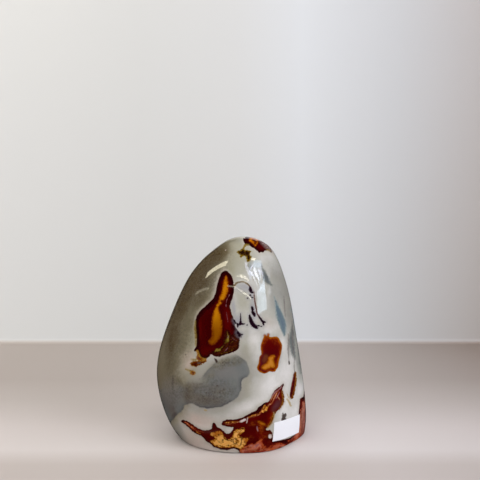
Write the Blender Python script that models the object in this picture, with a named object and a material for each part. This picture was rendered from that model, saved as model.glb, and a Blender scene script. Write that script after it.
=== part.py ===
"""Polished jasper freeform: one stone, ground smooth all over and sawn flat underneath so that it
stands upright, with a small blank paper label on its lower right.

The origin is at the base, within a quarter of a millimetre of the bounding box's middle, +Z is up,
and the front looks along -Y. Outlines are given in millimetres, and every mesh is made in metres.
"""

import math

import bmesh
import bpy
import numpy as np
from mathutils import Matrix, Vector

MM = 0.001
JASPER_COLOUR = (0.42, 0.39, 0.34)
JASPER_ROUGHNESS = 0.08
PAPER_COLOUR = (0.80, 0.80, 0.84)
PAPER_ROUGHNESS = 0.55

# The stone seen from the front: (x, z) from the left end of the base, over the top, to the right end.
FRONT_OUTLINE = [
    (-28.9, 0.0), (-32.5, 5.0), (-36.1, 12.0), (-39.5, 22.0), (-41.3, 36.0), (-39.2, 50.0),
    (-34.5, 64.0), (-28.7, 78.0), (-22.1, 90.0), (-14.6, 98.7), (-7.5, 104.6), (-1.0, 108.6),
    (6.4, 110.1),
    (13.9, 108.8), (20.3, 105.2), (24.9, 99.2), (28.8, 90.0), (32.3, 78.0), (34.9, 64.0),
    (37.1, 50.0), (39.3, 36.0), (41.0, 22.0), (41.7, 12.0), (41.5, 5.0), (40.8, 0.0),
]

# The stone seen from its side: (y, z) from the front of the base, over the top, to the back.
SIDE_OUTLINE = [
    (-24.3, 0.0), (-26.0, 5.0), (-27.5, 13.0), (-28.3, 26.0), (-28.1, 38.0), (-26.9, 50.0),
    (-24.6, 64.0), (-21.2, 78.0), (-17.0, 90.0), (-12.2, 98.9), (-7.4, 104.8), (-2.6, 108.7),
    (2.2, 110.1),
    (7.2, 108.7), (12.0, 104.9), (16.6, 98.9), (20.6, 90.0), (24.2, 78.0), (26.7, 64.0),
    (28.0, 50.0), (28.3, 36.0), (27.8, 22.0), (26.6, 10.0), (25.2, 0.0),
]

# Soft flats left by the grinding wheel, in a section scaled to a unit circle: the direction that
# each one faces, in degrees from +X towards +Y, and its distance from the section's middle.
SOFT_FLATS = [(-31.0, 0.90), (55.0, 0.98), (140.0, 0.97), (208.0, 1.09)]
FLAT_CRISPNESS = 14.0
FLATS_FADE_FROM = 84.0

# The small round between the flat underside and the wall, and how finely the skin is divided.
EDGE_ROUND = 0.9
EDGE_STEPS = 3
COLUMNS = 64
WALL_RINGS = 40
CREASE_ANGLE = 40.0

# How finely a section's reach and the flank's length are measured.
PROBE_STEPS = 720
HEIGHT_STEPS = 400

# The label: its size, and the point and direction from which it is pressed onto the stone.
LABEL_WIDTH = 21.1
LABEL_HEIGHT = 9.7
LABEL_THICKNESS = 0.3
LABEL_GAP = 0.36
LABEL_CELLS = (14, 7)
LABEL_CENTRE = (30.7, -16.7, 9.7)
LABEL_FACES = -41.0
LABEL_TILT = -3.5
LABEL_STANDOFF = 30.0


def smooth_curve(points, samples=1600):
    """A natural cubic spline through the points, by chord length, read at many even steps."""
    points = np.array(points, float)
    steps = np.linalg.norm(np.diff(points, axis=0), axis=1)
    at = np.concatenate([[0.0], np.cumsum(steps)])
    count = len(points)
    matrix = np.eye(count)
    right = np.zeros_like(points)
    for i in range(1, count - 1):
        before, after = steps[i - 1], steps[i]
        matrix[i, i - 1 : i + 2] = before, 2 * (before + after), after
        right[i] = 6 * ((points[i + 1] - points[i]) / after - (points[i] - points[i - 1]) / before)
    bend = np.linalg.solve(matrix, right)
    wanted = np.linspace(0.0, at[-1], samples)
    span = np.clip(np.searchsorted(at, wanted) - 1, 0, count - 2)
    width = steps[span][:, None]
    a = (at[span + 1] - wanted)[:, None] / width
    b = 1 - a
    curve = a * points[span] + b * points[span + 1]
    return curve + ((a**3 - a) * bend[span] + (b**3 - b) * bend[span + 1]) * width**2 / 6


class Outline:
    """One view's outline, which gives the stone's two sides at any height."""

    def __init__(self, points):
        curve = smooth_curve(points)
        self.top_index = int(np.argmax(curve[:, 1]))
        self.top = float(curve[self.top_index, 1])
        self.low_side = curve[: self.top_index + 1]
        self.high_side = curve[self.top_index :][::-1]

    def sides(self, height):
        """The low and the high coordinate of the stone at this height."""
        low = np.interp(height, self.low_side[:, 1], self.low_side[:, 0])
        high = np.interp(height, self.high_side[:, 1], self.high_side[:, 0])
        return float(low), float(high)


def section_shape(angles, height, top):
    """The section's outline in a box from -1 to 1: a circle with soft flats, which fade near the top."""
    fade = np.clip((top - height) / (top - FLATS_FADE_FROM), 0.0, 1.0)
    fade = fade * fade * (3 - 2 * fade)
    total = np.ones_like(angles)
    for facing, distance in SOFT_FLATS:
        across = np.maximum(np.cos(angles - math.radians(facing)), 0.0)
        flat = 1 - (1 - distance) * fade
        total += fade * (across / flat) ** FLAT_CRISPNESS
    radius = total ** (-1 / FLAT_CRISPNESS)
    return radius * np.cos(angles), radius * np.sin(angles)


def fitted(values, probe, low, high):
    """Scales values so that the probe's range runs from low to high."""
    return low + (values - probe.min()) / np.ptp(probe) * (high - low)


def ring(height, inset, columns, front, side):
    """One level ring of the stone's skin, drawn in by inset, as (x, y, z) rows in millimetres."""
    angles = np.linspace(0.0, 2 * math.pi, columns, endpoint=False)
    top = front.top
    fine = np.linspace(0.0, 2 * math.pi, PROBE_STEPS, endpoint=False)
    probe_x, probe_y = section_shape(fine, height, top)
    across, along = section_shape(angles, height, top)
    left, right = front.sides(height)
    near, far = side.sides(height)
    x = fitted(across, probe_x, left + inset, right - inset)
    y = fitted(along, probe_y, near + inset, far - inset)
    return np.column_stack([x, y, np.full(columns, height)])


def even_heights(front, first, count):
    """Heights from first up to just below the top, evenly spaced along the stone's flank."""
    share = np.linspace(0.0, 1.0, HEIGHT_STEPS)
    heights = first + (front.top - first) * (1 - (1 - share) ** 2)
    half_width = np.array([np.ptp(front.sides(h)) / 2 for h in heights])
    length = np.concatenate([[0.0], np.cumsum(np.hypot(np.diff(half_width), np.diff(heights)))])
    return np.interp(np.linspace(0.0, length[-1], count + 1)[:-1], length, heights)


def stone_rings(front, side):
    """Every ring from the underside's rim, round the small edge, and up to the top."""
    rings = []
    for step in range(EDGE_STEPS):
        turn = math.pi / 2 * step / EDGE_STEPS
        height = EDGE_ROUND * (1 - math.cos(turn))
        inset = EDGE_ROUND * (1 - math.sin(turn))
        rings.append(ring(height, inset, COLUMNS, front, side))
    for height in even_heights(front, EDGE_ROUND, WALL_RINGS):
        rings.append(ring(height, 0.0, COLUMNS, front, side))
    return rings


def material(name, colour, roughness):
    """A plain Principled material."""
    made = bpy.data.materials.new(name)
    made.use_nodes = True
    shader = made.node_tree.nodes["Principled BSDF"]
    shader.inputs["Base Color"].default_value = (*colour, 1.0)
    shader.inputs["Roughness"].default_value = roughness
    shader.inputs["Metallic"].default_value = 0.0
    return made


def build_stone():
    """The stone: rings bridged into a skin, a closed top, and one flat face underneath."""
    front, side = Outline(FRONT_OUTLINE), Outline(SIDE_OUTLINE)
    mesh = bpy.data.meshes.new("jasper_stone")
    build = bmesh.new()
    loops = []
    for points in stone_rings(front, side):
        loops.append([build.verts.new(Vector(p) * MM) for p in points])
    peak = build.verts.new(Vector((front.sides(front.top)[0], side.sides(side.top)[0], front.top)) * MM)
    for lower, upper in zip(loops, loops[1:]):
        for i in range(COLUMNS):
            j = (i + 1) % COLUMNS
            build.faces.new((lower[i], lower[j], upper[j], upper[i]))
    for i in range(COLUMNS):
        build.faces.new((loops[-1][i], loops[-1][(i + 1) % COLUMNS], peak))
    build.faces.new(reversed(loops[0]))
    bmesh.ops.recalc_face_normals(build, faces=build.faces)
    build.to_mesh(mesh)
    build.free()
    mesh.shade_smooth()
    mesh.set_sharp_from_angle(angle=math.radians(CREASE_ANGLE))
    stone = bpy.data.objects.new("jasper_stone", mesh)
    bpy.context.collection.objects.link(stone)
    mesh.materials.append(material("polished_jasper", JASPER_COLOUR, JASPER_ROUGHNESS))
    return stone


def build_label(stone):
    """The paper label: a flat grid pressed onto the stone along one direction, then given its thickness."""
    mesh = bpy.data.meshes.new("paper_label")
    build = bmesh.new()
    across, up = LABEL_CELLS
    bmesh.ops.create_grid(build, x_segments=across, y_segments=up, size=0.5)
    bmesh.ops.scale(build, vec=(LABEL_WIDTH * MM, LABEL_HEIGHT * MM, 1.0), verts=build.verts)
    build.to_mesh(mesh)
    build.free()
    label = bpy.data.objects.new("paper_label", mesh)
    bpy.context.collection.objects.link(label)
    mesh.materials.append(material("white_paper", PAPER_COLOUR, PAPER_ROUGHNESS))

    facing = math.radians(LABEL_FACES)
    outward = Vector((math.cos(facing), math.sin(facing), 0.0))
    sideways = Vector((-math.sin(facing), math.cos(facing), 0.0))
    frame = Matrix((sideways, Vector((0, 0, 1)), outward)).transposed()
    tilt = Matrix.Rotation(math.radians(LABEL_TILT), 3, "Z")
    start = Vector(LABEL_CENTRE) + outward * LABEL_STANDOFF
    label.matrix_world = Matrix.Translation(start * MM) @ (frame @ tilt).to_4x4()

    press = label.modifiers.new("press", "SHRINKWRAP")
    press.target = stone
    press.wrap_method = "PROJECT"
    press.use_project_z = True
    press.use_negative_direction = True
    press.use_positive_direction = False
    press.offset = LABEL_GAP * MM
    thicken = label.modifiers.new("thicken", "SOLIDIFY")
    thicken.thickness = LABEL_THICKNESS * MM
    thicken.offset = 1.0
    return label


def main():
    """Clears the scene and builds both pieces."""
    for old in list(bpy.data.objects):
        bpy.data.objects.remove(old)
    stone = build_stone()
    build_label(stone)


main()
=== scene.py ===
"""A polished polychrome jasper freeform with a small blank paper label, on a plain pale surface.

The stone stands where its solid stands, and has the same outlines, repeated here at a finer mesh.
Its markings are drawn in millimetres on six drawing sheets, one for each way of looking at
the stone. Every marking becomes a distance, stored on the mesh, that the stone's finish colours from
its edge inwards. Lengths are in millimetres until a mesh or a light is made, which takes metres.
"""

from __future__ import annotations

import logging
import math
from dataclasses import dataclass
from enum import Enum

import bpy
import numpy as np
from mathutils import Matrix, Vector


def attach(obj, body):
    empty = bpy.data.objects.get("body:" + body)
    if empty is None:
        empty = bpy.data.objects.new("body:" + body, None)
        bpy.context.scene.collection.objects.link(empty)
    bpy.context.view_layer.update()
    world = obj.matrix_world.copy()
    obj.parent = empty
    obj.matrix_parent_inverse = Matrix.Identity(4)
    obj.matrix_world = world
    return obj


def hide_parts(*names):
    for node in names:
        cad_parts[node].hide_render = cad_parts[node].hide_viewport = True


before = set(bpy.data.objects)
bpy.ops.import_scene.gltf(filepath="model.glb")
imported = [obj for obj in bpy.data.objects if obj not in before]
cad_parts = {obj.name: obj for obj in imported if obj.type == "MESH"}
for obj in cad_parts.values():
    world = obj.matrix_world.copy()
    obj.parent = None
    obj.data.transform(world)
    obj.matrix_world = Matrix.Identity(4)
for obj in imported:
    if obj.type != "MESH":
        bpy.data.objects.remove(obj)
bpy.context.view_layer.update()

LOG = logging.getLogger("jasper")
MM = 0.001
BODY = "root"

# The eye of the photograph, which the camera takes and the front drawing sheet is seen from.
EYE = (4.73, -267.0, 108.05)
LENS = 36.0
SENSOR = 36.0

# How far from its edge a marking's distance is followed, on its sheet and behind its reach.
FAR = 14.0
# The heights from which the drawing sheets over and under the stone measure depth.
OVER_FROM = 60.0
UNDER_FROM = 30.0
# A small oval's corners, and a drawn line's steps for each of its points.
SPOT_CORNERS = 8
THREAD_STEPS = 6
# A cloud ends at this many times its half size, and thins over this much of that; it fades out over
# this depth behind its reach.
CLOUD_RIM = 1.35
CLOUD_THINNING = 1.1
CLOUD_FADE = 12.0
# Folds flatter than this, in degrees, are shaded smooth.
CREASE_ANGLE = 40.0
# The mix node's colour sockets, which share their names with its others and so go by number.
SHARE, UNDER, OVER = 0, 6, 7
MIXED = 2

Points = tuple[tuple[float, ...], ...]
Stops = tuple[tuple[float, str], ...]
Sides = tuple[np.ndarray, np.ndarray]
Socket = bpy.types.NodeSocket
Tree = bpy.types.NodeTree


def linear(code: str) -> tuple[float, float, float, float]:
    """Turns an sRGB colour into the linear one that a socket takes.

    Args:
        code: six hex digits, such as "c8c4be".

    Returns:
        Linear red, green, blue and an alpha of one.
    """
    parts = [int(code[i : i + 2], 16) / 255 for i in (0, 2, 4)]
    red, green, blue = [p / 12.92 if p <= 0.04045 else ((p + 0.055) / 1.055) ** 2.4 for p in parts]
    return red, green, blue, 1.0


def smooth_curve(points: np.ndarray, samples: int) -> np.ndarray:
    """A natural cubic spline through the points, by chord length.

    Args:
        points: the points, one to a row.
        samples: how many even steps it is read at.

    Returns:
        The curve's points, one to a row.
    """
    steps = np.linalg.norm(np.diff(points, axis=0), axis=1)
    at = np.concatenate([[0.0], np.cumsum(steps)])
    count = len(points)
    matrix = np.eye(count)
    right = np.zeros_like(points)
    for i in range(1, count - 1):
        before, after = steps[i - 1], steps[i]
        matrix[i, i - 1 : i + 2] = before, 2 * (before + after), after
        right[i] = 6 * ((points[i + 1] - points[i]) / after - (points[i] - points[i - 1]) / before)
    bend = np.linalg.solve(matrix, right)
    wanted = np.linspace(0.0, at[-1], samples)
    span = np.clip(np.searchsorted(at, wanted) - 1, 0, count - 2)
    width = steps[span][:, None]
    a = (at[span + 1] - wanted)[:, None] / width
    b = 1 - a
    curve = a * points[span] + b * points[span + 1]
    return curve + ((a**3 - a) * bend[span] + (b**3 - b) * bend[span + 1]) * width**2 / 6


def rounded_outline(points: Points, steps: int = 5) -> np.ndarray:
    """A closed outline whose corners are eased, by a Catmull-Rom curve through its points.

    Args:
        points: the outline's corners in order.
        steps: how many points stand for each stretch between two corners.

    Returns:
        The eased outline, one point to a row.
    """
    here = np.array(points, float)
    before, after, beyond = np.roll(here, 1, 0), np.roll(here, -1, 0), np.roll(here, -2, 0)
    rows = []
    for t in np.arange(steps) / steps:
        lead = (after - before) * t
        bend = (2 * before - 5 * here + 4 * after - beyond) * t**2
        twist = (3 * here - before - 3 * after + beyond) * t**3
        rows.append((2 * here + lead + bend + twist) / 2)
    return np.stack(rows, axis=1).reshape(-1, here.shape[1])


class Sheet(Enum):
    """The drawing sheets, each named for the side of the stone that it is seen from."""

    FRONT = "front"
    BACK = "back"
    LEFT = "left"
    RIGHT = "right"
    TOP = "top"
    UNDER = "under"

    def project(self, places: np.ndarray) -> tuple[np.ndarray, np.ndarray]:
        """Where places on the stone fall on this sheet.

        Args:
            places: x, y and z in millimetres, one place to a row.

        Returns:
            The places across and up the sheet, and how deep each lies behind the stone's middle.
        """
        x, y, z = places.T
        if self is Sheet.FRONT:
            scale = -EYE[1] / (y - EYE[1])
            return np.column_stack([EYE[0] + (x - EYE[0]) * scale, EYE[2] + (z - EYE[2]) * scale]), y
        across, up, depth = {
            Sheet.BACK: (-x, z, -y),
            Sheet.LEFT: (-y, z, x),
            Sheet.RIGHT: (y, z, -x),
            Sheet.TOP: (x, y, OVER_FROM - z),
            Sheet.UNDER: (x, -y, z - UNDER_FROM),
        }[self]
        return np.column_stack([across, up]), depth


@dataclass(frozen=True)
class Patch:
    """A closed shape drawn on a sheet.

    Attributes:
        points: its corners, across and up the sheet.
        sheet: the sheet that it is drawn on.
        reach: how deep behind the stone's middle it still shows.
        eased: whether its corners are rounded.
    """

    points: Points
    sheet: Sheet = Sheet.FRONT
    reach: float = 6.0
    eased: bool = True

    def distance(self, places: np.ndarray) -> np.ndarray:
        """How far each place is from the shape's edge, negative inside.

        Args:
            places: x, y and z in millimetres, one place to a row.

        Returns:
            One distance for each place, no more than FAR.
        """
        outline = rounded_outline(self.points) if self.eased else np.array(self.points, float)
        spots, depth = self.sheet.project(places)
        low, high = outline.min(0) - FAR, outline.max(0) + FAR
        near = np.all((spots > low) & (spots < high), axis=1) & (depth < self.reach + FAR)
        spots = spots[near]
        square = np.full(len(spots), FAR**2)
        inside = np.zeros(len(spots), bool)
        for start, end in zip(outline, np.roll(outline, -1, axis=0)):
            along = end - start
            length = float(along @ along)
            if length == 0.0:
                continue
            offset = spots - start
            share = np.clip(offset @ along / length, 0.0, 1.0)
            gap = offset - share[:, None] * along
            square = np.minimum(square, np.einsum("ij,ij->i", gap, gap))
            crosses = (start[1] > spots[:, 1]) != (end[1] > spots[:, 1])
            if along[1] != 0.0:
                inside ^= crosses & (offset[:, 0] < offset[:, 1] * along[0] / along[1])
        found = np.sqrt(square) * np.where(inside, -1.0, 1.0)
        result = np.full(len(places), FAR)
        result[near] = np.clip(np.maximum(found, depth[near] - self.reach), -FAR, FAR)
        return result


@dataclass(frozen=True)
class Thread:
    """A line drawn on a sheet, whose width changes along it.

    Attributes:
        points: its points, each across the sheet, up the sheet, and the line's width there.
        sheet: the sheet that it is drawn on.
        reach: how deep behind the stone's middle it still shows.
    """

    points: Points
    sheet: Sheet = Sheet.FRONT
    reach: float = 6.0

    def distance(self, places: np.ndarray) -> np.ndarray:
        """How far each place is from the line's edge, negative inside.

        Args:
            places: x, y and z in millimetres, one place to a row.

        Returns:
            One distance for each place, no more than FAR.
        """
        route = np.array(self.points, float)
        if len(route) > 2:
            route = smooth_curve(route, THREAD_STEPS * len(route))
        spots, depth = self.sheet.project(places)
        found = np.full(len(places), FAR)
        for start, end in zip(route, route[1:]):
            along = end[:2] - start[:2]
            offset = spots - start[:2]
            share = np.clip(offset @ along / max(float(along @ along), 1e-9), 0.0, 1.0)
            gap = offset - share[:, None] * along
            half = (start[2] + (end[2] - start[2]) * share) / 2
            found = np.minimum(found, np.hypot(gap[:, 0], gap[:, 1]) - half)
        return np.clip(np.maximum(found, depth - self.reach), -FAR, FAR)


def spots(*ovals: tuple[float, ...], **where: object) -> tuple[Patch, ...]:
    """Small oval patches.

    Args:
        ovals: for each, its middle across and up the sheet, its width, and its height unless round.
        where: the sheet and reach, as a patch takes them.

    Returns:
        The patches.
    """
    turns = [math.tau * i / SPOT_CORNERS for i in range(SPOT_CORNERS)]
    patches = []
    for across, up, width, *rest in ovals:
        height = rest[0] if rest else width
        corners = [(across + width / 2 * math.cos(t), up + height / 2 * math.sin(t)) for t in turns]
        patches.append(Patch(tuple(corners), **where))
    return tuple(patches)


def eased(share: np.ndarray) -> np.ndarray:
    """A share from 0 to 1, with both ends made gentle."""
    share = np.clip(share, 0.0, 1.0)
    return share * share * (3 - 2 * share)


@dataclass(frozen=True)
class Cloud:
    """A soft oval haze drawn on a sheet, densest in its middle.

    Attributes:
        across: its middle, across the sheet.
        up: its middle, up the sheet.
        width: how long it is along its own axis.
        height: how wide it is across that axis.
        turn: how far its axis is turned from level, in degrees.
        density: how dense its middle is.
        sheet: the sheet that it is drawn on.
        reach: how deep behind the stone's middle it still shows.
    """

    across: float
    up: float
    width: float
    height: float
    turn: float = 0.0
    density: float = 1.0
    sheet: Sheet = Sheet.FRONT
    reach: float = 4.0

    def cover(self, places: np.ndarray) -> np.ndarray:
        """How dense it is at each place.

        Args:
            places: x, y and z in millimetres, one place to a row.

        Returns:
            One density for each place.
        """
        spots, depth = self.sheet.project(places)
        turn = math.radians(self.turn)
        along = (spots[:, 0] - self.across) * math.cos(turn) + (spots[:, 1] - self.up) * math.sin(turn)
        aside = (spots[:, 1] - self.up) * math.cos(turn) - (spots[:, 0] - self.across) * math.sin(turn)
        far = np.hypot(along / (self.width / 2), aside / (self.height / 2))
        within = eased((self.reach + CLOUD_FADE - depth) / CLOUD_FADE)
        return self.density * eased((CLOUD_RIM - far) / CLOUD_THINNING) * within


@dataclass(frozen=True)
class Haze:
    """Clouds of one kind.

    Attributes:
        name: the mesh attribute that holds their density.
        clouds: the clouds.
    """

    name: str
    clouds: tuple[Cloud, ...]

    def values(self, places: np.ndarray) -> np.ndarray:
        """How dense the clouds are together at each place.

        Args:
            places: x, y and z in millimetres, one place to a row.

        Returns:
            One density for each place, from 0 to 1.
        """
        clear = np.ones(len(places))
        for cloud in self.clouds:
            clear *= 1 - cloud.cover(places)
        return 1 - clear


@dataclass(frozen=True)
class Layer:
    """Markings of one kind, which share a colour.

    Attributes:
        name: the mesh attribute that holds their distance.
        marks: the markings.
        cuts: shapes that are kept free of them.
    """

    name: str
    marks: tuple[Patch | Thread, ...]
    cuts: tuple[Patch | Thread, ...] = ()

    def values(self, places: np.ndarray) -> np.ndarray:
        """How far each place is from the nearest edge of these markings, negative inside.

        Args:
            places: x, y and z in millimetres, one place to a row.

        Returns:
            One distance for each place, no more than FAR.
        """
        found = np.full(len(places), FAR)
        for mark in self.marks:
            found = np.minimum(found, mark.distance(places))
        for cut in self.cuts:
            found = np.maximum(found, -cut.distance(places))
        return found


# The flame-shaped patch in the middle of the front, and the amber core inside it.
FLAME = Patch((
    (-3.3, 91.2), (-1.5, 90.0), (0.2, 88.0), (1.0, 85.6), (1.4, 82.5), (1.4, 79.5), (0.5, 75.5),
    (-0.8, 72.0), (-0.6, 70.0), (0.2, 67.0), (1.1, 64.5), (1.7, 61.8), (2.3, 59.5), (3.6, 57.6),
    (4.2, 56.2), (3.2, 55.2), (4.7, 54.6), (4.4, 52.6), (4.1, 50.5), (4.2, 48.4), (3.4, 47.2),
    (1.6, 45.9), (-0.8, 45.0), (-3.2, 44.5), (-5.2, 43.6), (-7.4, 43.1), (-9.6, 43.6), (-11.3, 44.4),
    (-12.4, 43.2), (-13.6, 42.3), (-15.6, 41.4), (-17.2, 41.6), (-18.6, 43.8), (-19.4, 46.0),
    (-20.8, 46.2), (-20.6, 47.3), (-19.8, 49.0), (-19.5, 51.5), (-19.7, 54.5), (-20.2, 58.5),
    (-20.2, 62.0), (-19.6, 65.0), (-17.9, 68.2), (-15.0, 70.9), (-12.2, 73.6), (-10.0, 75.9),
    (-9.0, 78.6), (-8.3, 81.5), (-7.5, 85.0), (-6.6, 87.8), (-5.2, 90.2),
))
FLAME_CORE = Patch((
    (-3.0, 88.3), (-2.1, 86.4), (-1.6, 83.5), (-1.7, 80.5), (-2.6, 77.4), (-3.8, 74.8), (-5.2, 72.7),
    (-6.9, 70.6), (-6.2, 67.0), (-5.3, 63.2), (-5.0, 60.0), (-5.3, 56.5), (-6.1, 53.6), (-7.6, 51.4),
    (-9.6, 49.8), (-11.6, 49.5), (-12.7, 50.9), (-12.9, 52.2), (-11.6, 53.2), (-11.0, 55.8),
    (-11.2, 59.0), (-11.1, 63.0), (-10.6, 66.2), (-9.8, 69.2), (-8.7, 71.6), (-7.4, 73.6), (-6.9, 76.0),
    (-5.8, 78.4), (-5.1, 81.4), (-4.8, 84.4), (-4.0, 86.8),
))

# The block on the right, and its core.
BLOCK = Patch((
    (20.4, 55.8), (19.9, 54.8), (18.9, 55.0), (18.1, 54.6), (17.2, 52.4), (16.4, 50.0), (16.1, 48.2),
    (16.4, 46.0), (16.5, 44.4), (15.6, 43.3), (15.3, 41.6), (15.1, 39.6), (14.2, 37.8), (14.3, 36.2),
    (15.6, 34.6), (17.6, 33.8), (19.4, 34.0), (21.2, 34.9), (23.0, 34.6), (24.3, 34.9), (25.2, 36.2),
    (26.0, 37.6), (26.3, 39.8), (26.8, 41.8), (27.5, 44.4), (28.1, 47.4), (28.2, 49.8), (27.3, 51.6),
    (26.3, 53.6), (24.9, 54.4), (23.2, 54.2), (21.6, 54.2), (20.9, 54.8),
))
BLOCK_CORE = Patch((
    (16.6, 37.2), (17.4, 36.1), (19.0, 35.8), (20.6, 36.4), (22.2, 36.9), (23.8, 37.1), (24.4, 38.0),
    (24.0, 39.4), (23.6, 40.8), (23.5, 41.9), (24.2, 43.0), (23.6, 43.9), (21.9, 43.7), (20.7, 42.6),
    (20.4, 41.0), (19.4, 39.6), (17.8, 38.6),
))

# The band along the bottom of the front, from its thin left tail to the right edge.
BAND = Patch((
    (-28.1, 7.2), (-27.4, 8.0), (-26.2, 8.0), (-24.5, 7.3), (-22.0, 5.8), (-20.0, 4.4), (-18.0, 3.1),
    (-16.0, 2.4), (-14.0, 2.3), (-12.3, 2.6), (-11.1, 3.2), (-10.9, 4.6), (-10.6, 6.0), (-9.9, 6.6),
    (-9.1, 6.2), (-8.4, 5.0), (-7.8, 4.0), (-6.6, 3.5), (-5.4, 2.7), (-4.2, 1.6), (-3.0, 0.6),
    (-2.0, 0.2), (-0.9, 0.6), (0.2, 1.9), (1.1, 3.5), (0.0, 3.9), (-2.0, 4.2), (-4.0, 4.6), (-5.5, 5.3),
    (-5.5, 6.2), (-4.6, 7.3), (-3.0, 8.1), (-1.0, 8.2), (1.5, 8.3), (4.0, 8.7), (6.2, 9.3), (8.0, 10.4),
    (9.6, 11.3), (12.0, 12.5), (13.8, 13.4), (14.8, 15.0), (16.4, 16.0), (18.4, 17.5), (20.4, 18.1),
    (21.5, 19.7), (22.8, 22.4), (24.6, 25.0), (26.2, 26.1), (27.6, 27.0), (28.8, 28.5), (29.1, 27.2),
    (28.5, 25.6), (28.2, 24.0), (28.6, 21.5), (28.9, 19.0), (28.6, 17.0), (27.6, 15.1), (26.0, 13.4),
    (24.6, 12.2), (23.7, 11.0), (23.5, 9.3), (22.8, 7.4), (21.8, 5.8), (20.6, 4.4), (19.3, 2.9),
    (19.9, 2.2), (21.3, 2.5), (22.5, 1.3), (22.9, -0.5), (23.4, -3.2), (26.0, -3.4), (30.0, -2.8),
    (33.0, -1.6), (36.4, 0.8), (38.1, 4.0), (38.6, 7.0), (38.3, 10.0), (38.4, 14.0), (38.6, 16.5),
    (38.1, 18.3), (38.7, 20.1), (39.6, 20.7), (40.4, 19.6), (41.6, 18.0), (46.0, 17.0), (46.0, -15.0),
    (5.6, -15.0), (4.6, -10.2), (3.6, -9.1), (2.2, -8.2), (0.0, -8.2), (-3.0, -8.8), (-5.0, -8.6),
    (-7.5, -8.0), (-9.8, -7.2), (-11.4, -5.8), (-12.6, -4.8), (-13.6, -4.4), (-14.6, -3.1), (-15.6, -1.9),
    (-17.2, -0.8), (-18.8, -0.2), (-20.2, 0.4), (-21.8, 1.7), (-23.8, 3.6), (-25.8, 5.3), (-27.4, 6.4),
), reach=2.0)
BAND_CORE = Patch((
    (-10.9, 0.9), (-9.4, 1.2), (-8.0, 1.9), (-6.6, 2.0), (-5.4, 1.2), (-4.6, -0.2), (-4.0, -1.6),
    (-2.8, -2.2), (-1.4, -2.6), (-0.2, -2.0), (0.4, -0.8), (1.0, 0.4), (1.4, 1.6), (2.6, 2.6), (4.2, 2.8),
    (5.6, 3.6), (6.8, 3.6), (7.5, 2.6), (6.8, 1.4), (5.4, 0.2), (4.0, -0.6), (4.8, -1.4), (6.4, -1.9),
    (8.2, -2.0), (9.4, -2.4), (9.2, -3.6), (8.6, -4.8), (7.6, -6.2), (6.4, -7.4), (5.2, -8.2),
    (4.0, -7.8), (2.6, -7.2), (0.5, -7.0), (-2.0, -7.5), (-5.0, -7.5), (-7.2, -7.1), (-9.0, -6.6),
    (-10.2, -5.6), (-11.2, -4.4), (-11.6, -3.6), (-10.0, -3.0), (-8.8, -2.6), (-9.4, -1.6), (-10.8, -0.9),
    (-12.0, -0.4),
))

# The terracotta at the band's foot.
TERRACOTTA_FOOT = Patch((
    (5.0, -8.8), (6.4, -7.2), (7.6, -5.8), (9.2, -6.0), (11.0, -4.8), (12.4, -5.4), (14.0, -4.2),
    (15.6, -3.2), (16.8, -2.4), (17.6, -3.6), (17.8, -5.2), (19.2, -6.6), (21.0, -6.8), (22.8, -5.6),
    (25.0, -4.8), (28.0, -5.0), (30.0, -5.8), (31.6, -5.2), (33.0, -3.4), (34.6, -1.7), (36.4, 0.2),
    (38.0, 2.4), (38.9, 6.0), (38.9, 10.0), (39.1, 14.0), (39.2, 17.2), (39.8, 19.0), (40.4, 17.4),
    (42.0, 16.0), (46.0, 15.0), (46.0, -15.0), (6.0, -15.0),
), reach=2.0)

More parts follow.
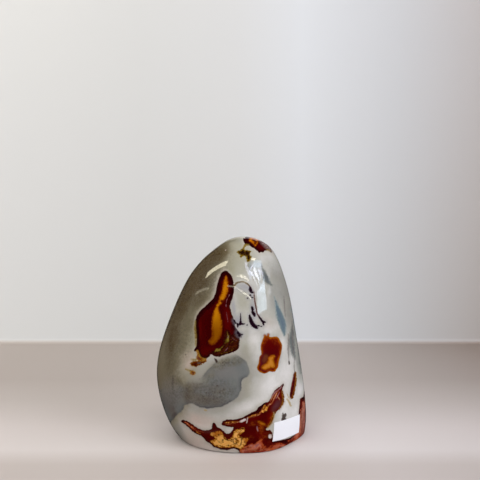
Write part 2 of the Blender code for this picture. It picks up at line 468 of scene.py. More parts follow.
HAZES = (
    # Where the cream turns khaki, lavender, pale or pinkish.
    Haze("khaki", (
        Cloud(1, 101, 24, 30, 0, 0.8), Cloud(-11, 76, 14, 26, -30, 0.9), Cloud(-8, 36, 24, 9, 35, 0.7),
        Cloud(-24, 56, 12, 40), Cloud(-24, 38, 14, 20), Cloud(6, 74, 8, 12, 0, 0.5),
        Cloud(9, 46, 10, 12, 0, 0.6), Cloud(-1, 90, 8, 14), Cloud(8.6, 27, 7, 16, 0, 0.7),
        Cloud(0, 84, 40, 34, 0, 0.6, Sheet.BACK),
    )),
    Haze("lavender", (
        Cloud(12, 71, 4, 17, 4), Cloud(2.6, 63, 6, 8), Cloud(0.8, 70, 3.6, 14, 4),
        Cloud(6, 81.5, 10, 6, 0, 0.9), Cloud(14, 57, 14, 5, 0, 0.3), Cloud(4.6, 55.4, 4, 5, 0, 0.8),
        Cloud(14, 66, 24, 14, 60, 0.7, Sheet.BACK),
    )),
    Haze("pale", (
        Cloud(24, 29, 30, 16, 25), Cloud(9, 16.4, 26, 7, 24), Cloud(13, 50, 8, 20, 0, 0.8),
        Cloud(31, 41, 7, 22, 0, 0.8), Cloud(33, 14, 16, 24), Cloud(22, 58.5, 14, 6, 0, 0.5),
        Cloud(38, 25, 4, 10), Cloud(28.4, 51, 10, 4, 100, 0.8), Cloud(23.8, 94.6, 15, 4.6, -66, 0.5),
        Cloud(-9.2, 82, 3, 13, -12, 0.7), Cloud(-12.6, 73.4, 13, 2.6, 45, 0.5),
        Cloud(-16, 42, 14, 5, 12, 0.5), Cloud(-8, 9.5, 26, 6, 0, 0.7), Cloud(-15, 6, 20, 7, -20, 0.8),
        # The long cloud along the base is painted light, bounced up onto the stone's foot from the table.
        Cloud(1, 3, 8, 5, 0, 0.6), Cloud(-12, -8.4, 26, 5, 172),
        Cloud(-10, 20, 30, 20, 20, 0.8, Sheet.BACK),
    )),
    Haze("blush", (
        Cloud(-18, 8, 26, 9, -12, 0.8), Cloud(-22, -4, 26, 12, -20, 0.7), Cloud(-8, -8, 28, 6, 0, 0.4),
        Cloud(-25, 41, 10, 14, 0, 0.8), Cloud(20, 62, 10, 8, 0, 0.3),
        Cloud(4, 55, 30, 16, 30, 0.7, Sheet.BACK, -4), Cloud(-2, 12, 40, 14, 0, 0.7, Sheet.LEFT),
        Cloud(0, 0, 60, 40, 0, 0.8, Sheet.UNDER),
    )),
    # The greyer upper right, partly the stone's own tone and partly painted shade and a painted dark
    # reflection along the right edge and the top, where the polish turns away; and painted shade towards
    # the base on the left.
    Haze("shade", (
        Cloud(28, 83, 32, 9, 108, 0.8), Cloud(32, 68, 26, 7, 104), Cloud(24, 76, 26, 8, 96, 0.7),
        Cloud(-29.8, 2, 26, 5.6, 118, 0.85), Cloud(0, 108, 20, 5, 10, 0.7), Cloud(10.2, 94, 6, 3.4, 75),
        Cloud(34.4, 60, 26, 2.8, 98), Cloud(30, 62, 6, 14, 0, 0.3), Cloud(37, 41, 26, 3.4, 97, 0.8),
        Cloud(32.2, 46.5, 9, 2, 92, 0.7),
    )),
    # Where the smoke is browner, and where the slate is brown-grey rather than blue.
    Haze("umber", (
        Cloud(-19.5, 88, 36, 10, 53), Cloud(-9.5, 98.5, 20, 9, 36), Cloud(-26, 76, 26, 8, 63, 0.9),
        Cloud(-32.5, 54, 22, 7, 78, 0.8), Cloud(-34, 41, 22, 7, 92, 0.3), Cloud(-17, 84, 16, 9, 50, 0.8),
        Cloud(-28, 68, 14, 7, 60, 0.6), Cloud(-18, 75, 12, 8, 45, 0.4),
        Cloud(24, 86, 40, 14, 118, 0.9, Sheet.BACK), Cloud(28, 62, 20, 12, 100, 0.6, Sheet.BACK),
        Cloud(2, 70, 20, 40, 0, 0.6, Sheet.LEFT, -10),
    )),
    Haze("dusk", (
        Cloud(-22, 20.5, 14, 9, -10, 0.8), Cloud(-32.5, 12, 13, 4.4, 112, 0.9),
        Cloud(-12, 18.4, 24, 7, -4, 0.8), Cloud(-22, 27, 16, 6, 0, 0.8), Cloud(-35, 22, 20, 11, 95, 0.8),
        # The tall cloud at the foot's right edge is painted shade on the rounded edge; the rest is the
        # stone's own brown-grey.
        Cloud(-10, 25, 14, 7, 0, 0.3), Cloud(40.4, 7, 6, 30), Cloud(30, 24, 20, 14, 20, 0.8, Sheet.BACK),
        Cloud(-6, 24, 20, 12, 0, 0.8, Sheet.LEFT),
    )),
    # Where the slate's edge is crisp: its upper left side is soft.
    Haze("slate_edge", (
        Cloud(-8, 15, 50, 13, 3), Cloud(6.5, 30, 12, 34), Cloud(3, 20, 20, 14, 45),
        Cloud(5, 41, 8, 6, -40, 0.5), Cloud(-29, 12.6, 20, 6, 50), Cloud(-12.6, 35.4, 13, 5, 50, 0.7),
        Cloud(24, 30, 44, 60, 0, 1, Sheet.BACK), Cloud(0, 16, 60, 30, 0, 1, Sheet.LEFT),
    )),
    # Olive-brown mottles in the slate.
    Haze("mottle", (
        Cloud(-4, 39, 16, 7, 22), Cloud(2, 40.5, 10, 6, 0, 0.9), Cloud(-11, 33, 10, 5, 40, 0.6),
        Cloud(-6, 24, 14, 6, 0, 0.5), Cloud(-24, 24, 12, 10, 90, 0.7), Cloud(-15, 19, 18, 7, -6, 0.4),
        Cloud(30, 34, 20, 12, 60, 0.7, Sheet.BACK),
    )),
    # Soft grey over the brown, low on the left.
    Haze("ash", (
        Cloud(-34, 24, 17, 12, 95, 0.7), Cloud(-29.6, 20, 12, 5, 80, 0.6),
        Cloud(-3, 34.5, 20, 8, 6, 0.95),
    )),
    # Darker mauve and brown smudges in the slate.
    Haze("smudge", (
        Cloud(-32.6, 28.6, 6, 1.8, 90, 0.9), Cloud(-32.2, 14.4, 3.4, 1.8, 80, 0.7),
        Cloud(-31.8, 10.8, 4.4, 2.6, 60, 0.9), Cloud(-24.6, 21, 12, 3.4, 92, 0.7),
        Cloud(-21, 17.8, 9, 1.6, -12, 0.6), Cloud(-6.6, 26.8, 6, 1.6, 0, 0.6),
        Cloud(-12.6, 22.4, 4, 3, 70, 0.5), Cloud(-9, 20.2, 3.4, 2, 0, 0.6), Cloud(-28, 25, 3, 8, 0, 0.3),
        Cloud(-22, 56, 3, 12, 0, 0.2),
    )),
    # Mauve and orange-brown patches in the dark red.
    Haze("mauve", (
        Cloud(17.6, 41.4, 9, 4, 88), Cloud(19.4, 35.4, 7, 1.4, 0, 0.6), Cloud(25, 17, 8, 4, 60, 0.5),
    )),
    Haze("kindled", (
        Cloud(16.2, 3.4, 8, 4.4, 80, 0.9), Cloud(21.2, 5.6, 5, 2.4, 50, 0.8),
        Cloud(22.6, 10.4, 7, 2.2, 70, 0.8), Cloud(12.4, 6, 7, 3, 20, 0.5), Cloud(10, -2, 6, 3, 0, 0.4),
        Cloud(18, -1.6, 7, 3, 40, 0.7), Cloud(27.6, 18, 10, 2, 84, 0.6), Cloud(26.4, 40, 8, 1.8, 75, 0.4),
        Cloud(18.6, 52.4, 6, 3, 60, 0.8), Cloud(25, 51.6, 5, 4, 0, 0.5), Cloud(0.6, 51, 8, 6, 0, 0.5),
    )),
    # Dark red and pale pink streaks in the terracotta.
    Haze("clotted", (
        Cloud(20.4, -5.6, 7, 4.4, 20), Cloud(12.2, -9.2, 10, 1.6, 4, 0.7),
        Cloud(27, -7.2, 8, 1.6, 8, 0.6), Cloud(38.9, 11, 16, 0.9, 90, 0.9),
        Cloud(33.6, -3.4, 7, 1.4, 30, 0.7), Cloud(9, -7.6, 5, 2, 20, 0.7),
        Cloud(17.6, -8.4, 7, 1.6, 6, 0.8), Cloud(24.6, -5.4, 6, 1.4, 8, 0.8),
        Cloud(30.6, -5, 5, 1.2, 20, 0.7),
    )),
    Haze("rosy", (
        Cloud(14, -6.6, 6, 3, 30), Cloud(8, -9.2, 7, 1.2, 4, 0.7), Cloud(26.4, -6.4, 8, 1.4, 10, 0.6),
        Cloud(35.4, -1.2, 6, 1.4, 40, 0.7), Cloud(10.6, -6.6, 3, 2, 0, 0.7),
        Cloud(40.2, 8, 20, 1.4, 92, 0.6),
    )),
    # Where small darker flecks show in the grey and the brown.
    Haze("flecked", (
        Cloud(-10, 24, 30, 18), Cloud(-32, 26, 26, 12, 90, 0.9), Cloud(-4, 39, 14, 6, 20, 0.9),
        Cloud(-14, 86, 46, 20, 54), Cloud(-31, 54, 46, 16, 78, 0.8), Cloud(-24, 50, 26, 8, 80, 0.5),
        Cloud(25, 92, 18, 11, -55, 0.3), Cloud(24, 70, 60, 20, 100, 0.8, Sheet.BACK),
        Cloud(30, 26, 24, 16, 20, 0.8, Sheet.BACK),
    )),
    # Where the red glows rust or bright red instead of near black, and where the amber lies deeper.
    Haze("ember", (
        Cloud(-1.5, 66, 5, 16, 0, 0.5), Cloud(-17.2, 58, 1.6, 16, 0, 0.5), Cloud(-2.6, 62, 4, 18, 6, 0.4),
        Cloud(-14, 46, 9, 6, 0, 0.3), Cloud(2, 0, 64, 24, 8, 0.5), Cloud(22, 51, 14, 9, 0, 0.9),
        Cloud(24, 38, 7, 10, 0, 0.8), Cloud(17.5, 104, 8, 4, -30, 0.3), Cloud(22, 8, 5, 12),
        Cloud(25, 12, 6, 8), Cloud(8, 7.4, 26, 2.4, 16, 0.5), Cloud(16, -0.5, 16, 5, 0, 0.7),
        Cloud(34.6, 27, 2.4, 16, 0, 0.8), Cloud(24.5, 21, 18, 8, 52, 0.9), Cloud(-20, 4, 18, 6, -28, 0.7),
        Cloud(38.6, 16, 2.4, 12, 0, 0.8), Cloud(6, 66, 18, 16, 0, 0.8, Sheet.BACK),
        Cloud(-20, 32, 14, 10, 0, 1, Sheet.BACK),
    )),
    Haze("depth", (
        Cloud(-8.6, 55, 12, 16), Cloud(-10, 51, 9, 6), Cloud(-7, 62, 6, 10, 0, 0.4),
        Cloud(-8, 0.2, 7, 3.6, 10), Cloud(8.3, -3.6, 3.6, 4.6), Cloud(4.8, 0.2, 3.4, 1.8, 30, 0.8),
        Cloud(4, 58, 12, 18, 0, 1, Sheet.BACK),
    )),
    # A painted sheen: a pale reflection laid on the red where it turns away over the top.
    Haze("painted_sheen", (
        Cloud(20.2, 105.1, 12.4, 4.2, -42, 1, Sheet.FRONT, -5),
        Cloud(13.2, 109.2, 8, 1.8, -12, 0.6, Sheet.FRONT, -5),
    )),
)

LAYERS = (
    # The smoky brown down the left side, and round it to the back; on the left its darkness is partly
    # painted shade, where that side is lit less.
    Layer("smoke_and_shade", (
        Patch((
            (-2.0, 112.0), (-1.0, 106.0), (-1.2, 101.0), (-3.0, 96.5), (-5.5, 92.5), (-7.6, 88.0),
            (-8.6, 84.0), (-9.6, 80.0), (-11.0, 76.6), (-13.8, 73.0), (-17.0, 69.0), (-19.6, 65.0),
            (-20.8, 60.0), (-22.2, 56.0), (-23.6, 51.0), (-25.4, 46.5), (-28.0, 42.0), (-29.6, 37.0),
            (-29.0, 33.0), (-26.6, 30.0), (-25.8, 25.0), (-26.0, 19.0), (-27.4, 15.0), (-29.4, 12.4),
            (-31.0, 9.6), (-33.4, 7.0), (-37.0, 4.5), (-50.0, 2.0), (-50.0, 115.0),
        ), reach=20.0),
        Patch((
            (4.0, 112.0), (8.0, 100.0), (12.0, 84.0), (22.0, 70.0), (26.0, 52.0), (30.0, 36.0),
            (31.0, 18.0), (32.0, 4.0), (50.0, 2.0), (50.0, 112.0),
        ), Sheet.BACK, 2.0),
    )),
    # The slate-grey below the smoke, on the front, the left and the back.
    Layer("slate", (
        Patch((
            (-24.2, 16.9), (-26.4, 16.2), (-27.4, 13.8), (-29.2, 12.2), (-30.8, 10.6), (-32.6, 8.4),
            (-34.6, 6.0), (-38.0, 3.0), (-48.0, 4.0), (-48.0, 22.0), (-38.0, 25.0), (-32.0, 27.5),
            (-28.0, 29.0), (-24.4, 30.0), (-21.4, 30.2), (-19.6, 30.6), (-16.8, 31.4), (-14.8, 33.6),
            (-12.0, 36.6), (-9.4, 39.2), (-6.6, 41.2), (-3.8, 42.8), (-1.0, 43.9), (2.0, 44.0),
            (4.8, 42.8), (7.2, 41.0), (9.0, 38.4), (9.9, 35.2), (9.2, 32.8), (7.2, 31.8), (5.5, 30.2),
            (5.2, 27.0), (5.0, 24.2), (3.4, 21.2), (0.4, 18.9), (-3.2, 16.6), (-7.0, 15.2), (-11.0, 14.7),
            (-14.0, 14.6), (-17.4, 15.2), (-19.6, 16.4), (-22.0, 17.5),
        )),
        Patch((
            (-34.0, 6.0), (-30.0, 14.0), (-25.0, 18.0), (-27.0, 25.0), (-22.0, 31.0), (-24.0, 39.0),
            (-16.0, 43.0), (-9.0, 40.0), (-3.0, 42.0), (-1.0, 36.0), (-4.0, 30.0), (-1.0, 23.0),
            (-5.0, 17.0), (-4.0, 10.0), (-12.0, 7.0), (-20.0, 4.0),
        ), Sheet.LEFT, -8.0),
        Patch((
            (50.0, 6.0), (38.0, 10.0), (31.0, 13.0), (28.0, 17.0), (22.0, 19.0), (19.5, 23.0),
            (20.6, 27.5), (16.8, 32.0), (18.6, 37.0), (17.8, 42.0), (22.6, 45.4), (24.8, 50.4),
            (28.8, 48.6), (31.6, 43.4), (35.4, 40.4), (37.4, 33.8), (40.2, 28.4), (50.0, 22.0),
        ), Sheet.BACK, 2.0),
        Patch((
            (-27.0, 84.0), (-23.5, 80.5), (-22.0, 75.0), (-18.0, 71.0), (-16.8, 65.0), (-13.2, 60.5),
            (-14.6, 54.0), (-18.6, 50.5), (-20.4, 55.0), (-24.6, 56.6), (-25.4, 62.5), (-29.5, 66.0),
            (-30.5, 74.0),
        ), Sheet.BACK, 2.0),
    )),
    # Blue-grey wedges that point down the right side, and greyer ones.
    Layer("teal", (
        Patch((
            (23.7, 77.2), (24.7, 74.8), (26.2, 71.8), (28.0, 68.0), (29.4, 64.8), (30.4, 61.6),
            (30.6, 58.6), (30.2, 56.0), (29.3, 54.4), (28.2, 56.4), (27.0, 59.4), (25.7, 62.8),
            (24.6, 66.0), (24.3, 69.6), (24.0, 73.4),
        )),
        Patch((
            (-33.0, 70.0), (-30.0, 60.0), (-26.0, 50.0), (-22.0, 44.0), (-24.0, 56.0), (-28.0, 66.0),
        ), Sheet.BACK, 2.0),
        Patch(((2.0, 72.0), (6.0, 60.0), (4.0, 46.0), (1.0, 54.0), (0.0, 64.0)), Sheet.RIGHT, -10.0),
    )),
    Layer("pewter", (
        Patch((
            (16.5, 94.6), (17.6, 92.6), (19.2, 90.4), (20.4, 88.0), (21.6, 85.4), (23.0, 82.6),
            (21.4, 82.8), (19.4, 83.6), (17.9, 85.2), (17.2, 87.6), (16.7, 91.0),
        )),
        Patch((
            (33.7, 62.0), (32.9, 59.0), (32.1, 55.6), (31.6, 52.0), (32.3, 48.5), (33.2, 45.0),
            (34.4, 42.4), (35.5, 41.4), (35.9, 43.0), (35.7, 46.5), (35.4, 51.0), (35.0, 56.0),
            (34.5, 60.0),
        )),
        Thread((
            (36.2, 58.0, 0.4), (36.7, 52.0, 0.8), (37.2, 46.0, 0.9), (37.9, 40.0, 1.0), (38.6, 34.0, 0.7),
        )),
    )),
    # Dark red: the flame, the band and the patch at the top, and patches on the sides not seen.
    Layer("mahogany", (
        FLAME,
        BAND,
        Patch((
            (6.4, 112.0), (6.3, 109.8), (6.6, 107.6), (7.3, 106.0), (7.2, 104.7), (8.6, 105.1),
            (10.0, 104.8), (11.6, 103.9), (13.0, 103.0), (14.4, 101.9), (15.3, 100.9), (16.4, 101.3),
            (17.6, 101.2), (18.6, 102.0), (19.8, 102.4), (20.6, 102.2), (21.4, 103.0), (22.4, 102.4),
            (23.4, 101.6), (27.0, 104.0), (24.0, 112.0),
        ), reach=-2.0),
        Patch((
            (8.0, -3.6), (7.4, -1.0), (8.4, 1.0), (8.2, 3.0), (10.2, 3.4), (10.8, 5.6), (12.4, 8.4),
            (14.4, 9.0), (14.8, 5.8), (17.0, 4.4), (19.0, 4.6), (19.6, 2.2), (21.6, 0.6), (22.4, -2.0),
            (20.8, -3.6), (18.0, -4.6), (12.0, -4.8), (9.6, -4.4),
        ), Sheet.TOP, -40.0),
        Patch((
            (-41.0, 15.0), (-30.0, 19.0), (-20.0, 13.0), (-12.0, 15.0), (-4.0, 9.0), (2.0, 10.0),
            (8.0, 5.0), (16.0, 3.5), (21.0, 0.8), (22.0, -6.0), (-46.0, -6.0), (-46.0, 16.0),
        ), Sheet.BACK, 4.0),
        Patch((
            (-7.0, 20.0), (-3.0, 21.5), (2.0, 25.0), (7.0, 20.0), (14.0, 22.0), (20.0, 14.0),
            (30.0, 15.0), (30.0, -4.0), (-8.0, -4.0),
        ), Sheet.RIGHT, -24.0),
        Patch((
            (-10.5, 82.5), (-8.0, 86.5), (-5.6, 87.0), (-3.6, 91.5), (0.0, 89.0), (2.0, 85.4),
            (5.4, 83.6), (5.0, 79.0), (8.4, 75.0), (9.0, 71.0), (13.0, 67.4), (12.4, 63.0), (15.6, 58.0),
            (13.0, 54.4), (13.6, 50.0), (9.4, 48.4), (7.4, 44.4), (3.0, 46.2), (-0.6, 43.4), (-3.4, 46.6),
            (-8.0, 47.4), (-7.2, 52.0), (-10.4, 55.0), (-8.6, 59.6), (-9.4, 63.4), (-5.0, 66.4),
            (-4.4, 70.4), (-7.2, 73.4), (-6.6, 78.0),
        ), Sheet.BACK, 0.0),
    ), cuts=spots((21.5, -1.2, 2.0, 2.4))),
    # Rust-rimmed red: the block on the right, and patches on the sides not seen.
    Layer("rust", (
        BLOCK,
        Patch((
            (-28.0, 37.5), (-25.4, 39.2), (-23.6, 42.0), (-20.4, 41.0), (-18.8, 38.4), (-15.4, 38.0),
            (-13.6, 34.6), (-15.6, 31.8), (-14.4, 28.0), (-17.4, 24.6), (-20.2, 25.6), (-22.4, 22.8),
            (-25.8, 23.4), (-26.4, 27.0), (-29.0, 29.6), (-27.6, 33.2),
        ), Sheet.BACK, 0.0),
        Patch((
            (-13.5, 66.0), (-11.0, 70.0), (-8.0, 71.5), (-5.5, 68.5), (-6.5, 65.0), (-3.5, 62.0),
            (-2.5, 57.5), (-5.0, 55.5), (-5.5, 51.0), (-8.0, 46.5), (-10.5, 48.0), (-9.8, 52.5),
            (-12.5, 54.5), (-14.2, 59.0), (-12.2, 62.0),
        ), Sheet.LEFT, 0.0),
        Patch((
            (7.5, 60.0), (9.5, 65.5), (12.5, 68.5), (14.8, 65.0), (14.0, 60.5), (16.5, 56.0),
            (16.0, 50.0), (13.2, 47.0), (13.5, 42.5), (10.5, 40.0), (8.8, 44.5), (9.6, 49.0), (7.2, 53.5),
        ), Sheet.RIGHT, 0.0),
    )),
    # The thin red sliver near the right edge.
    Layer("garnet", (
        Patch((
            (35.4, 35.4), (36.0, 33.4), (36.0, 29.6), (35.4, 25.0), (34.6, 21.4), (33.8, 19.7),
            (32.8, 19.9), (32.3, 21.6), (32.6, 24.0), (33.3, 28.0), (34.2, 32.0), (34.8, 34.4),
        )),
    )),
    # Softer brown-red inside the block.
    Layer("cocoa", (
        Patch((
            (18.0, 38.8), (19.8, 39.8), (20.8, 41.0), (21.2, 43.0), (20.4, 44.6), (18.4, 44.8),
            (17.0, 43.0), (16.6, 40.4),
        )),
    )),
    # The block's honey-coloured core, with a thread and spots like it.
    Layer("honey", (
        BLOCK_CORE,
        Thread((
            (14.8, 7.0, 0.3), (15.8, 6.6, 0.9), (16.9, 5.9, 1.3), (18.2, 5.5, 0.7), (19.0, 4.9, 0.3),
        )),
        *spots((20.4, 55.3, 1.1, 1.3), (18.5, 54.9, 1.0, 0.9)),
    )),
    # The darkest brown, at the flame's foot and under the band.
    Layer("bark", (
        Thread(((4.4, -10.0, 0.8), (8.0, -10.3, 1.3), (14.0, -10.1, 1.0), (19.0, -9.5, 0.3))),
        Patch((
            (-3.9, 56.4), (-2.6, 58.2), (-1.2, 57.8), (0.0, 55.4), (2.8, 56.0), (4.4, 54.8), (4.5, 51.0),
            (4.2, 48.4), (2.6, 46.6), (-0.8, 45.0), (-3.2, 44.5), (-5.2, 43.6), (-7.4, 43.1),
            (-9.6, 43.8), (-10.6, 45.2), (-9.2, 46.8), (-6.8, 48.2), (-5.0, 49.6), (-4.6, 52.4),
        )),
    )),
    # Burnt brown under the flame's left foot.
    Layer("sienna", (
        Patch((
            (-22.8, 39.4), (-21.8, 38.0), (-20.2, 37.8), (-18.6, 38.6), (-17.2, 38.9), (-16.4, 39.6),
            (-15.0, 40.1), (-14.2, 40.9), (-15.6, 41.3), (-17.6, 40.9), (-19.4, 40.6), (-21.2, 40.1),
        )),
        # Rims of orange-brown, on the sliver and along the band's right side.
        Thread((
            (35.6, 34.6, 0.2), (35.9, 31.0, 0.1), (35.5, 27.0, 0.1), (34.8, 23.4, 0.2), (33.8, 20.2, 0.3),
        )),
        Thread((
            (20.2, 4.0, 0.2), (21.9, 6.2, 0.4), (23.0, 8.6, 0.5), (23.5, 10.6, 0.5), (24.5, 12.2, 0.3),
        )),
        Thread((
            (26.4, 14.0, 0.1), (28.0, 16.2, 0.2), (28.8, 18.8, 0.3), (28.7, 21.4, 0.2), (28.3, 24.0, 0.1),
        )),
    )),
    # Amber cores: the flame's, the top patch's and those on the sides not seen.
    Layer("amber", (
        FLAME_CORE,
        Patch((
            (9.8, 109.6), (12.0, 109.9), (14.4, 108.6), (14.9, 107.0), (14.0, 105.4), (13.6, 104.4),
            (12.6, 104.9), (11.4, 106.2), (10.2, 107.6),
        )),
        Patch((
            (-2.6, 84.0), (0.4, 82.0), (2.2, 77.0), (4.0, 74.0), (4.2, 69.4), (7.8, 65.0), (9.0, 60.0),
            (6.8, 57.4), (8.0, 53.4), (4.6, 50.0), (1.0, 51.4), (-1.4, 49.6), (-2.6, 53.6), (0.4, 56.4),
            (-1.8, 60.6), (0.6, 65.0), (-1.0, 69.4), (-2.8, 73.0), (-1.6, 77.4),
        ), Sheet.BACK, 0.0),
        Patch((
            (-24.6, 36.0), (-21.8, 37.6), (-19.4, 35.4), (-20.0, 32.8), (-17.6, 31.0), (-18.8, 28.0),
            (-21.4, 28.6), (-22.6, 31.4), (-25.0, 32.4),
        ), Sheet.BACK, 0.0),
        Patch((
            (-10.5, 66.0), (-8.2, 67.5), (-7.8, 64.0), (-6.2, 60.5), (-7.4, 57.0), (-8.8, 53.5),
            (-9.6, 56.5), (-10.8, 60.0), (-9.6, 63.0),
        ), Sheet.LEFT, 0.0),
        Patch((
            (10.0, 60.5), (11.6, 63.5), (12.6, 60.0), (13.8, 55.0), (12.4, 50.5), (11.2, 45.5),
            (10.6, 49.5), (11.2, 54.5),
        ), Sheet.RIGHT, 0.0),
        Patch((
            (9.6, -4.4), (14.0, -4.4), (14.2, -2.0), (16.0, -0.4), (14.8, 1.2), (12.8, 2.6), (12.4, 0.2),
            (10.2, -1.2),
        ), Sheet.TOP, -45.0),
    ), cuts=(
        *spots((-5.1, 74.0, 1.3, 1.0)),
        Thread(((11.8, 108.2, 0.3), (12.8, 107.6, 0.6), (13.6, 107.0, 0.5), (12.9, 106.0, 0.5))),
    )),
    # Pale ochre in the band, and threads of it along the band's arms.
    Layer("ochre", (
        BAND_CORE,
        Thread(((-19.6, 1.5, 0.3), (-18.4, 0.7, 0.6), (-17.2, 0.3, 0.3))),
        Thread(((-3.8, 6.4, 0.2), (-2.0, 6.5, 0.5), (1.0, 6.9, 0.5), (3.4, 6.9, 0.4))),
        Thread(((9.2, 9.2, 0.3), (11.0, 10.1, 0.6), (13.4, 10.8, 0.6), (15.6, 11.4, 0.4))),
        Thread((
            (15.4, 11.6, 0.5), (17.0, 12.6, 1.0), (18.8, 13.6, 1.6), (19.8, 14.8, 1.2), (20.6, 15.8, 0.5),
        )),
        Thread(((17.4, 13.6, 0.8), (18.0, 15.0, 1.2), (18.6, 16.2, 0.5))),
        Patch((
            (-36.0, 9.0), (-30.0, 12.0), (-22.0, 8.0), (-14.0, 9.0), (-8.0, 5.0), (-12.0, 2.0),
            (-24.0, 3.0), (-34.0, 4.0),
        ), Sheet.BACK, 4.0),
    ), cuts=spots((3.2, -3.9, 0.6, 0.9), (-9.8, -2.2, 2.0, 0.7))),
    # Terracotta along the foot, and on round to the back.
    Layer("terracotta", (
        TERRACOTTA_FOOT,
        Thread(((31.0, -3.6, 0.4), (33.6, -2.8, 1.0), (36.0, -1.0, 0.5))),
        Thread((
            (-26.6, 7.1, 0.3), (-24.4, 5.7, 0.6), (-22.2, 4.0, 0.8), (-20.2, 2.5, 0.9), (-18.0, 1.5, 0.8),
            (-15.4, 1.0, 0.4),
        )),
        Patch((
            (-41.0, 9.0), (-31.0, 7.0), (-20.0, 4.5), (-8.0, 5.0), (2.0, 3.0), (12.0, 1.5), (18.0, 0.0),
            (18.0, -6.0), (-46.0, -6.0), (-46.0, 10.0),
        ), Sheet.BACK, 4.0),
        Patch((
            (-7.0, 15.0), (-4.0, 17.0), (1.0, 20.0), (7.0, 15.0), (14.0, 16.0), (22.0, 9.0), (30.0, 10.0),
            (30.0, -4.0), (-8.0, -4.0),
        ), Sheet.RIGHT, -26.0),
    )),
    # Softer plum at the dark red's edges.
    Layer("plum", (
        Patch((
            (22.0, 13.0), (22.4, 15.2), (23.6, 17.2), (25.0, 19.0), (26.4, 19.6), (27.8, 18.8),
            (27.8, 16.8), (26.6, 14.8), (24.8, 13.2), (23.2, 12.2),
        )),
        Patch((
            (-17.6, 1.8), (-15.4, 1.9), (-12.6, 2.1), (-10.6, 1.9), (-8.8, 2.4), (-7.6, 2.2), (-9.0, 1.3),
            (-11.0, 0.6), (-13.4, 0.5), (-15.8, 0.8),
        )),
        Patch((
            (15.2, 109.5), (16.6, 107.5), (18.8, 105.8), (21.0, 104.2), (22.6, 103.2), (24.0, 102.0),
            (27.0, 104.0), (20.0, 110.0),
        )),
    )),
    # The broken olive patch below the red at the top, and one on the back.
    Layer("olive", (
        Patch((
            (2.8, 101.4), (3.6, 102.2), (4.8, 102.5), (5.6, 103.1), (6.6, 103.8), (7.0, 104.8),
            (8.2, 105.3), (8.4, 104.7), (7.4, 103.8), (7.6, 102.7), (9.2, 102.4), (11.0, 101.8),
            (10.2, 100.5), (10.6, 99.5), (11.3, 98.6), (10.8, 97.2), (9.9, 96.0), (8.6, 95.8),
            (8.3, 97.2), (7.9, 98.6), (6.9, 99.2), (5.9, 98.6), (5.2, 97.9), (4.7, 98.6), (4.6, 99.6),
            (3.6, 100.5),
        )),
        Patch(((14.0, 90.0), (18.0, 92.0), (21.0, 88.0), (18.0, 85.0), (14.5, 86.0)), Sheet.BACK, 0.0),
    )),
    # Small dark spots in the grey, and one just above the label.
    Layer("soot", (
        Patch((
            (27.9, 7.0), (28.0, 9.6), (28.5, 12.2), (29.2, 11.4), (29.9, 11.8), (30.7, 10.8), (30.1, 9.0),
            (30.8, 7.0),
        )),
        *spots(
            (-25.5, 44.3, 0.9, 0.7), (-4.8, 39.8, 0.9), (-14.0, 23.0, 0.9, 0.7), (-10.0, 21.2, 0.8, 0.6),
            (-8.0, 27.0, 0.8), (-5.0, 24.2, 0.7, 0.6),
        ),
        Thread(((-9.4, 42.2, 0.8), (-8.7, 41.2, 1.3), (-8.2, 40.3, 1.4))),
        Thread(((-18.9, 39.7, 0.9), (-17.4, 39.5, 1.1))),
        Thread(((31.8, 41.0, 0.4), (32.1, 39.6, 0.9), (32.2, 39.0, 0.8))),
    )),
    # Straw-coloured streaks beside the sliver and along the band.
    Layer("straw", (
        Thread(((30.9, 19.6, 0.9), (31.9, 18.2, 1.2), (32.9, 15.8, 1.0))),
        Thread(((31.0, 22.4, 0.5), (31.9, 20.6, 0.8), (32.8, 19.6, 0.6))),
        Thread(((-15.8, 14.0, 0.3), (-14.4, 13.3, 0.9), (-13.2, 13.6, 0.4))),
        Thread((
            (23.2, 12.6, 0.2), (23.8, 10.6, 0.4), (23.2, 7.6, 0.3), (21.4, 4.6, 0.4), (19.2, 2.8, 0.3),
        )),
    )),
    # Orange-brown where the red thins out under the flame.
    Layer("tawny", (
        Patch((
            (-19.5, 46.4), (-19.2, 44.2), (-19.4, 42.2), (-18.4, 41.0), (-16.4, 40.7), (-14.8, 41.1),
            (-13.8, 42.0), (-15.2, 42.2), (-16.6, 42.5), (-17.5, 43.4), (-18.1, 44.9), (-18.8, 46.6),
        )),
        Patch(((-23.2, 34.6), (-22.4, 33.3), (-20.8, 33.0), (-20.1, 34.0), (-20.8, 35.1), (-22.2, 35.2))),
    )),
    # Yellow-olive threads, at the flame's edge and in its broken corner.
    Layer("moss", (
        Thread(((-22.4, 41.6, 0.5), (-20.6, 41.4, 0.9), (-19.0, 41.8, 0.8))),
        Thread(((-22.6, 35.0, 0.9), (-24.0, 35.6, 0.7), (-25.4, 36.3, 0.4))),
        Thread(((-20.0, 49.0, 0.3), (-20.0, 54.0, 0.7), (-20.4, 59.0, 0.7), (-20.2, 63.0, 0.3))),
        Thread(((19.8, 102.6, 0.2), (20.8, 102.2, 0.6), (21.4, 101.9, 0.3))),
        Thread(((6.6, 103.8, 0.4), (7.6, 105.2, 0.5), (9.4, 105.3, 0.4))),
    )),
    # Reed-coloured threads and spots at the flame's foot.
    Layer("reed", (
        *spots((-2.4, 52.2, 2.2, 2.4), (-7.4, 46.9, 3.4, 1.8)),
        Thread((
            (-2.3, 57.0, 0.3), (-2.1, 55.4, 0.8), (-1.8, 53.8, 1.1), (-2.4, 52.2, 0.6), (-3.4, 50.8, 0.4),
        )),
        Thread((
            (-10.0, 45.4, 0.3), (-8.6, 46.4, 0.6), (-6.8, 47.3, 0.9), (-5.2, 48.4, 0.5),
            (-4.2, 49.8, 0.3),
        )),
